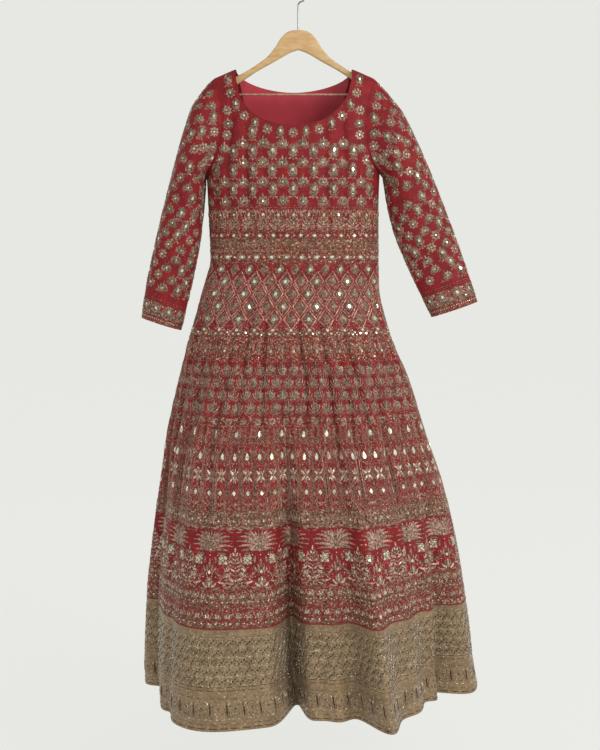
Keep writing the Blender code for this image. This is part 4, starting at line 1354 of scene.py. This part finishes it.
print("sewing the tissue hem")
hemZone = newZone("hem")
for index, drop in enumerate((1.377, 1.396, 1.415, 1.434, 1.453)):
    skirtRow(hemZone, tissueCurl(), 122, drop, 20.5, 0.5 * (index % 2), 0.12)
skirtRow(hemZone, tissueArch(), 78, 1.510, 34.5, 0.0, 0.02)
for count, high, low, radius, roundSize in (
    # how many, between which drops, radius and the round there in mm
    (1200, 1.358, 1.475, 1.35, 2550.0),
    (220, 1.478, 1.54, 1.3, 2700.0),
):
    scatter = np.stack((chance.uniform(-0.5, 0.5, count), chance.uniform(high, low, count)), axis=1)
    sew(hemZone, onSkirt, [sequin(0, 0, radius)], scatter, 1.0 / roundSize)
hemWork = finishZone(hemZone)


def alongNeck(neck, spacing, offset):
    # even places beside the neck edge, as arcs and drops
    x = 0.998 * cloth["neckHalfWidth"] * np.sin(np.linspace(-0.5, 0.5, 801) * math.pi)
    drop = neckDropAt(x, neck)
    length = np.concatenate(([0.0], np.cumsum(np.hypot(np.diff(x), np.diff(drop)))))
    away = np.stack((-np.gradient(drop), np.gradient(x)), axis=1)
    edge = np.stack((x, drop), axis=1) + offset * away / np.linalg.norm(away, axis=1, keepdims=True)
    count = int(length[-1] / spacing)
    at = (np.arange(count) + 0.5) * length[-1] / count
    places = np.stack([np.interp(at, length, edge[:, axis]) for axis in (0, 1)], axis=1)
    middle = len(bodiceArcs) // 2
    for place in places:
        row = int(np.interp(place[1], bodiceLevels, np.arange(len(bodiceLevels))))
        place[0] = np.sign(place[0]) * np.interp(abs(place[0]), arcToX[row, middle:, 0], bodiceArcs[middle:])
    return places


def straightRow(drop, reach, pitch, shift=0.0):
    # level places on both sides of a panel's middle
    arcs = (np.arange(-reach, reach + 1) + shift) * pitch
    return np.stack((arcs, np.full(len(arcs), drop)), axis=1)


def clearOf(places, others, gap):
    return places[np.linalg.norm(places[:, None] - others[None], axis=2).min(axis=1) > gap]


print("sewing the bodice")
bodiceSewing = {
    "collarPitch": 0.0245, "collarInset": 0.0168, "armholeInset": 0.0140, "armholeGap": 0.0205,
    "armholeFirst": 0.229, "armholeLast": 0.414, "armholePitch": 0.0262, "edgeJitter": 0.1,
    "columns": 11, "column": 0.0215, "row": 0.0405, "firstDrop": 0.2085, "lastDrop": 0.478,
    "stray": 0.0007, "gap": 0.0190, "jitter": 0.05, "waistPitch": 0.0323,
}
bodicePanels = {"bodice_front": (-1.0, cloth["frontNeck"]), "bodice_back": (1.0, cloth["backNeck"])}
for name, (facing, neck) in bodicePanels.items():
    zone = newZone(name)
    surface = onBodice(facing, neck)
    collar = alongNeck(neck, bodiceSewing["collarPitch"], bodiceSewing["collarInset"])
    drops = np.arange(bodiceSewing["armholeFirst"], bodiceSewing["armholeLast"], bodiceSewing["armholePitch"])
    edge = np.interp(drops, bodiceLevels, sideArcs) - bodiceSewing["armholeInset"]
    armhole = np.concatenate([np.stack((side * edge, drops), axis=1) for side in (1.0, -1.0)])
    armhole = clearOf(armhole, collar, bodiceSewing["armholeGap"])
    flower = moved(flowerButi(), scale=1.12)
    for motif, places in (
        (moved(palmette(), scale=0.80), collar[::2]), (flower, collar[1::2]),
        (flower, armhole[::2]), (moved(lotusBud(), scale=1.02), armhole[1::2]),
    ):
        sew(zone, surface, motif, places, jitter=bodiceSewing["edgeJitter"])
    collar = np.concatenate((collar, armhole))
    for column in range(-bodiceSewing["columns"], bodiceSewing["columns"] + 1):
        first = bodiceSewing["firstDrop"] + (0.5 * bodiceSewing["row"] if column % 2 else 0.0)
        drops = np.arange(first, bodiceSewing["lastDrop"], bodiceSewing["row"])
        places = np.stack((np.full(len(drops), column * bodiceSewing["column"]), drops), axis=1)
        places = places + chance.normal(0.0, bodiceSewing["stray"], places.shape)
        places = clearOf(places, collar, bodiceSewing["gap"])
        motif = moved(lotusBud(), scale=1.16) if column % 2 else palmette()
        sew(zone, surface, motif, places, jitter=bodiceSewing["jitter"])
    small = straightRow(0.5465, 15, 0.0145)
    for motif, places, jitter in (
        (plumeBorder(), straightRow(0.5125, 7, bodiceSewing["waistPitch"]), 0.02),
        ([mirrorPlate(diamondOutline(5.2, 4.6)[::2], 1.2), hoop(diamondOutline(8, 6.6), 1.2, 0.8, "antique")],
         small[::2], 0.0),
        ([plate(diamondOutline(3.4, 4.4)[::2], 0.8, 0.2, "rose", True)], small[1::2], 0.0),
        ([*leaves("antique", (-3.6, 3.2, -1.5, 0.5, 0.2, -3.4, 1.7), count=4),
          *leaves("rose", (0.2, -3.4, 1.8, 0.5, 3.8, 3.2, 1.7), count=4), sequin(0, 2.4, 0.9)],
         straightRow(0.5795, 26, 0.0085), 0.0),
        (leaves("rose", (-2.6, -1.6, 0, 0.4, 2.6, 1.8, 1.7), count=4), straightRow(0.5665, 32, 0.0068), 0.0),
        ([hoop(oval(0, 0, 6.6, 5), 1.4, 0.9, "pale"), mirrorPlate(oval(0, 0, 5, 3.7), 1.2)],
         straightRow(0.5925, 7, bodiceSewing["waistPitch"], 0.5), 0.0),
        ([hoop(oval(0, 0, 3.8, 3.6, 6), 1.3, 0.8, "rose"), mirrorPlate(oval(0, 0, 2.3, 2.2, 6), 1.2)],
         straightRow(0.5925, 7, bodiceSewing["waistPitch"]), 0.0),
    ):
        sew(zone, surface, motif, places, jitter=jitter)
    for drop, finish, width in ((0.488, "rose", 1.3), (0.5375, "antique", 1.4), (0.5545, "antique", 1.8),
                                (0.5615, "rose", 1.8), (0.5715, "antique", 1.6), (0.5865, "rose", 1.3)):
        sew(zone, surface, stretch(4.2, finish, width), straightRow(drop, 28, 0.008))
    finishZone(zone)


def ringPlaces(count, along, phase=0.0):
    # even places round the arm
    return np.stack(((np.arange(count) + phase) / count, np.full(count, along)), axis=1)


print("sewing the sleeves")
sleeveSewing = {
    "first": 0.020, "cuff": 0.066, "row": 0.0195, "cell": 0.031, "gap": 0.0192, "jitter": 0.08,
    "sprigStep": (0.5 / 7.0, 0.0098), "sprigGap": 0.0128, "sprigCuff": 0.064, "sprigJitter": 0.1,
    "linePieces": 40, "lineReach": 0.53, "ring": 0.031, "ringCell": 0.026,
}
sleeveShapes = {}
for name in sleeveTables:
    points, normals, headNormals = sleeveGrid(name, 56, 72)
    sleeveShapes[name] = (points, normals, headNormals)
    surface, length, roundAt = onSleeve(points, normals)
    zone = newZone(name)
    spots = []
    rows = np.arange(sleeveSewing["first"], length - sleeveSewing["cuff"], sleeveSewing["row"])
    for row, along in enumerate(rows):
        count = max(4, int(round(roundAt(along) / sleeveSewing["cell"])))
        spots.append(ringPlaces(count, along, 0.5 * (row % 2)))
    spots = keptApart(surface, np.concatenate(spots), sleeveSewing["gap"])
    spots = spots[np.argsort(spots[:, 1], kind="stable")]
    for kind, motif in enumerate((moved(palmette(), scale=0.92), moved(flowerButi(), scale=1.12),
                                  moved(lotusBud(), scale=1.05))):
        chosen = spots[kind::3]
        frames = sleeveFrames(surface, chosen)
        sew(zone, surface, motif, chosen, jitter=sleeveSewing["jitter"], frames=frames)
    between = np.concatenate((spots, spots + np.array(sleeveSewing["sprigStep"])))
    gaps = keptApart(surface, between, sleeveSewing["sprigGap"])[len(spots):]
    gaps = gaps[gaps[:, 1] < length - sleeveSewing["sprigCuff"]]
    sprig = [*leaves("rose", (0, -4.5, 0.6, 0, 0, 5, 2), count=4),
             *both(*leaves("antique", (0.3, -3.5, 3, -2, 4.2, 2.4, 1.7), count=4))]
    frames = sleeveFrames(surface, gaps)
    sew(zone, surface, sprig, gaps, jitter=sleeveSewing["sprigJitter"], frames=frames)
    for offset, finish, width in ((0.054, "rose", 1.5), (0.050, "antique", 1.5), (0.012, "antique", 1.6),
                                  (0.007, "rose", 1.5), (0.003, "antique", 1.8)):
        size = roundAt(length - offset)
        span = 1000.0 * size / sleeveSewing["linePieces"]
        piece = stretch(sleeveSewing["lineReach"] * span, finish, width, 3)
        sew(zone, surface, piece, ringPlaces(sleeveSewing["linePieces"], length - offset), 0.001 / size)
    count = int(round(roundAt(length - sleeveSewing["ring"]) / sleeveSewing["ringCell"]))
    for motif, number, offset, phase, jitter in (
        (moved(palmette(), scale=0.88), count, sleeveSewing["ring"], 0.0, 0.03),
        (moved(lotusBud(), scale=0.72, v=-6) + [sequin(0, 10, 1.6)], count, sleeveSewing["ring"], 0.5, 0.05),
        ([sequin(0, 0, 1.2)], 60, 0.0095, 0.0, 0.0),
    ):
        place = length - offset
        sew(zone, surface, motif, ringPlaces(number, place, phase), 0.001 / roundAt(place), jitter=jitter)
    finishZone(zone)


def dress(piece, replaced):
    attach(piece, "root")
    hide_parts(replaced)


print("hanging the cloth")
panelGrid = {"columns": 88, "rows": 70, "flat": (0.46, 0.46), "mostArea": 0.2116}
for name, (facing, neck) in bodicePanels.items():
    outer, normals, drops = bodiceGrid(facing, neck, panelGrid["columns"], panelGrid["rows"])
    inner = outer - cloth["wall"] * normals
    if facing > 0.0:
        outer, normals, inner, drops = (grid[:, ::-1] for grid in (outer, normals, inner, drops))
        backOuter, backNormals, backDrops = outer, normals, drops
    for grid in (outer, inner):
        grid[:, :, 1] = facing * np.maximum(facing * grid[:, :, 1], 0.5 * cloth["seamGap"])
    uv = np.stack((outer[:, :, 0], drops), axis=-1)
    piece = clothWall(name + "_cloth", outer, inner, False, redSilk, uv)
    dress(piece, name)

# The lining lies behind the upper half of the back, in from both shoulders.
liningPart = (slice(0, 35), slice(22, -22))
liningStart = cloth["wall"] + cloth["seamGap"]
liningOuter = backOuter[liningPart] - liningStart * backNormals[liningPart]
liningInner = backOuter[liningPart] - (liningStart + cloth["lining"]) * backNormals[liningPart]
uv = np.stack((liningOuter[:, :, 0], backDrops[liningPart]), axis=-1)
piece = clothWall("back_neck_lining_cloth", liningOuter, liningInner, False, lining, uv)
dress(piece, "back_neck_lining")

for name, (outer, normals, headNormals) in sleeveShapes.items():
    inner = outer - cloth["wall"] * normals
    inner[0] = outer[0] - cloth["wall"] * headNormals
    shares = np.linspace(0.0, 1.0, outer.shape[1])[None, :-1]
    lengths = np.linspace(0.0, 1.0, len(outer))[:, None]
    # a sleeve takes its couching from the bodice's drops, and its cuff from the waist's
    drops = np.where(lengths < 0.9, 0.26 + 0.2 * lengths, 0.515)
    uv = np.stack(np.broadcast_arrays(shares, drops), axis=-1)
    piece = clothWall(name + "_cloth", outer[:, :-1], inner[:, :-1], True, redSilk, uv)
    dress(piece, name)

perKali = skirtGrid["columnsPerKali"]
skirtWork = skirtUpper + skirtNiches + skirtGarden + skirtLines
for index in range(cloth["kalis"]):
    number = f"{index + 1:02d}"
    columns = slice(index * perKali, (index + 1) * perKali + 1)
    for label, rows, material, slot, above, work in (
        ("kali", slice(0, skirtGrid["kaliRows"] + 1), redSilk, "embroidered_silk",
         "bodice_front_cloth", skirtWork),
        ("hem_panel", slice(skirtGrid["kaliRows"] + 1, None), tissue, "gold_tissue",
         "kali_" + number + "_cloth", hemWork),
    ):
        outer = skirtPoints[rows, columns].copy()
        for edge, inward in ((0, 1), (-1, -2)):
            step = outer[:, inward] - outer[:, edge]
            step = step / np.linalg.norm(step, axis=1, keepdims=True)
            outer[:, edge] += step * 0.5 * cloth["seamGap"]
        inner = outer - cloth["wall"] * skirtNormals[rows, columns]
        uv = np.stack(np.broadcast_arrays(skirtShares[None, columns], skirtDrops[rows, None]), axis=-1)
        name = label + "_" + number
        piece = clothWall(name + "_cloth", outer, inner, False, material, uv)
        dress(piece, name)


def curveMesh(name, points, settings, material, turn=0.0):
    # closed curve made solid
    curve = bpy.data.curves.new(name, "CURVE")
    for setting, value in settings.items():
        setattr(curve, setting, value)
    spline = curve.splines.new("POLY")
    spline.points.add(len(points) - 1)
    spline.points.foreach_set("co", np.concatenate((points, np.ones((len(points), 1))), axis=1).ravel())
    spline.use_cyclic_u = True
    piece = bpy.data.objects.new(name, curve)
    bpy.context.scene.collection.objects.link(piece)
    piece.rotation_euler = (turn, 0.0, 0.0)
    bpy.ops.object.select_all(action="DESELECT")
    piece.select_set(True)
    bpy.context.view_layer.objects.active = piece
    bpy.ops.object.convert(target="MESH")
    bpy.ops.object.transform_apply(rotation=True)
    bpy.ops.object.shade_smooth()
    piece.data.materials.append(material)
    return piece


print("piping, hanger and hook")
piping = {"points": 480, "sink": 0.0004, "sides": 3}
shares = np.linspace(-0.5, 0.5, piping["points"], endpoint=False)
route, outwards, _ = onSkirt(shares, np.full(piping["points"], cloth["pipingDrop"]))
piece = curveMesh("hem_piping_cord", route - piping["sink"] * outwards, {
    "dimensions": "3D", "bevel_depth": cloth["pipingRadius"], "bevel_resolution": piping["sides"]}, cord)
dress(piece, "hem_piping")

hanger = {"thickness": 0.011, "edge": 0.0035, "steps": 6, "weld": 0.00002, "sharpFrom": 35.0}
hangerTop = (
    # x, z
    (0.000, -0.1080), (0.020, -0.1112), (0.036, -0.1240), (0.050, -0.1450), (0.066, -0.1640),
    (0.087, -0.1795), (0.110, -0.1942), (0.130, -0.2043), (0.155, -0.2163), (0.176, -0.2295),
    (0.187, -0.2410),
)
hangerUnderside = (
    (0.184, -0.2530), (0.172, -0.2530), (0.155, -0.2380), (0.125, -0.2190), (0.090, -0.1960),
    (0.050, -0.1740), (0.020, -0.1570), (0.000, -0.1500),
)


def throughPoints(points, steps, before):
    # smooth curve through points; before is the point that the first one follows
    points = [np.array(p) for p in (before, *points)]
    points.append(2.0 * points[-1] - points[-2])
    made = []
    for a, b, c, d in zip(points, points[1:], points[2:], points[3:]):
        for t in np.linspace(0.0, 1.0, steps, endpoint=False):
            made.append(0.5 * (2.0 * b + (c - a) * t + (2.0 * a - 5.0 * b + 4.0 * c - d) * t ** 2
                               + (3.0 * b - a - 3.0 * c + d) * t ** 3))
    made.append(points[-2])
    return made


half = throughPoints(hangerTop, hanger["steps"], (-hangerTop[1][0], hangerTop[1][1]))
half += throughPoints(hangerUnderside, hanger["steps"], hangerTop[-1])
outline = [(x, z, 0.0) for x, z in half] + [(-x, z, 0.0) for x, z in half[-2:0:-1]]
piece = curveMesh("hanger_board", outline, {
    "dimensions": "2D", "fill_mode": "BOTH", "extrude": 0.5 * hanger["thickness"] - hanger["edge"],
    "bevel_depth": hanger["edge"], "bevel_resolution": 4, "offset": -hanger["edge"]}, beech, 0.5 * math.pi)
bpy.ops.object.mode_set(mode="EDIT")
bpy.ops.mesh.select_all(action="SELECT")
bpy.ops.mesh.remove_doubles(threshold=hanger["weld"])
bpy.ops.mesh.normals_make_consistent(inside=False)
bpy.ops.object.mode_set(mode="OBJECT")
bpy.ops.object.shade_smooth_by_angle(angle=math.radians(hanger["sharpFrom"]))
dress(piece, "hanger_wood")

for name, material in (("hanger_bar", brass), ("hook", steel)):
    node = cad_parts[name]
    for slot in node.material_slots:
        slot.material = material

print("floor, light and camera")
cove = {"floor": -1.80, "flat": 2.6, "radius": 4.6, "top": 5.0, "sides": 96}
# Pale studio paper with an even wash of light of its own, so that it keeps one tone.
backdrop = newMaterial("pale paper", Roughness=0.9, Base_Color=linear("#5f605e"),
                       Emission_Color=linear("#eaebe6"), Emission_Strength=0.88)[0]
profile = [(reach, cove["floor"]) for reach in np.linspace(0.01, cove["flat"], 8)]
for turn in np.linspace(0.0, 0.5 * math.pi, 25)[1:]:
    profile.append((cove["flat"] + cove["radius"] * math.sin(turn),
                    cove["floor"] + cove["radius"] * (1.0 - math.cos(turn))))
profile.append((cove["flat"] + cove["radius"], cove["top"]))
turns = np.linspace(0.0, 2.0 * math.pi, cove["sides"], endpoint=False)
rings = [[(reach * math.cos(t), reach * math.sin(t), height) for t in turns] for reach, height in profile]
index = np.arange(len(profile) * cove["sides"]).reshape(len(profile), cove["sides"])
after = np.roll(index, -1, axis=1)
faces = np.stack((index[:-1], index[1:], after[1:], after[:-1]), axis=-1).reshape(-1, 4).tolist()
faces.append(index[0].tolist())
finishMesh("paper_cove", np.array(rings).reshape(-1, 3), faces, backdrop, angle=60.0)

for name, place, size, power, aim in (
    ("key", (2.3, -2.3, 0.7), 1.4, 54.0, (0.0, 0.0, -0.75)),
    ("fill", (-1.6, -2.9, 0.2), 2.0, 1.5, (0.0, 0.0, -0.8)),
    ("top", (0.2, -0.6, 1.7), 1.6, 14.0, (0.0, 0.0, -0.7)),
):
    light = bpy.data.lights.new(name, "AREA")
    light.shape = "DISK"
    light.size = size
    light.energy = power
    lamp = bpy.data.objects.new(name, light)
    lamp.location = place
    away = Vector(aim) - Vector(place)
    lamp.rotation_euler = away.to_track_quat("-Z", "Y").to_euler()
    bpy.context.scene.collection.objects.link(lamp)

world = bpy.data.worlds.new("studio")
world.use_nodes = True
world.node_tree.nodes["Background"].inputs["Color"].default_value = linear("#eef0f0")
world.node_tree.nodes["Background"].inputs["Strength"].default_value = 0.10
bpy.context.scene.world = world

lens = bpy.data.cameras.new("camera")
lens.sensor_fit = "HORIZONTAL"
lens.sensor_width = 36.0
lens.lens = 70.92
camera = bpy.data.objects.new("camera", lens)
camera.location = (0.004, -2.6, -0.579)
camera.rotation_euler = (math.radians(84.0), 0.0, 0.0)
bpy.context.scene.collection.objects.link(camera)
bpy.context.scene.camera = camera
bpy.context.scene.view_settings.view_transform = "Standard"
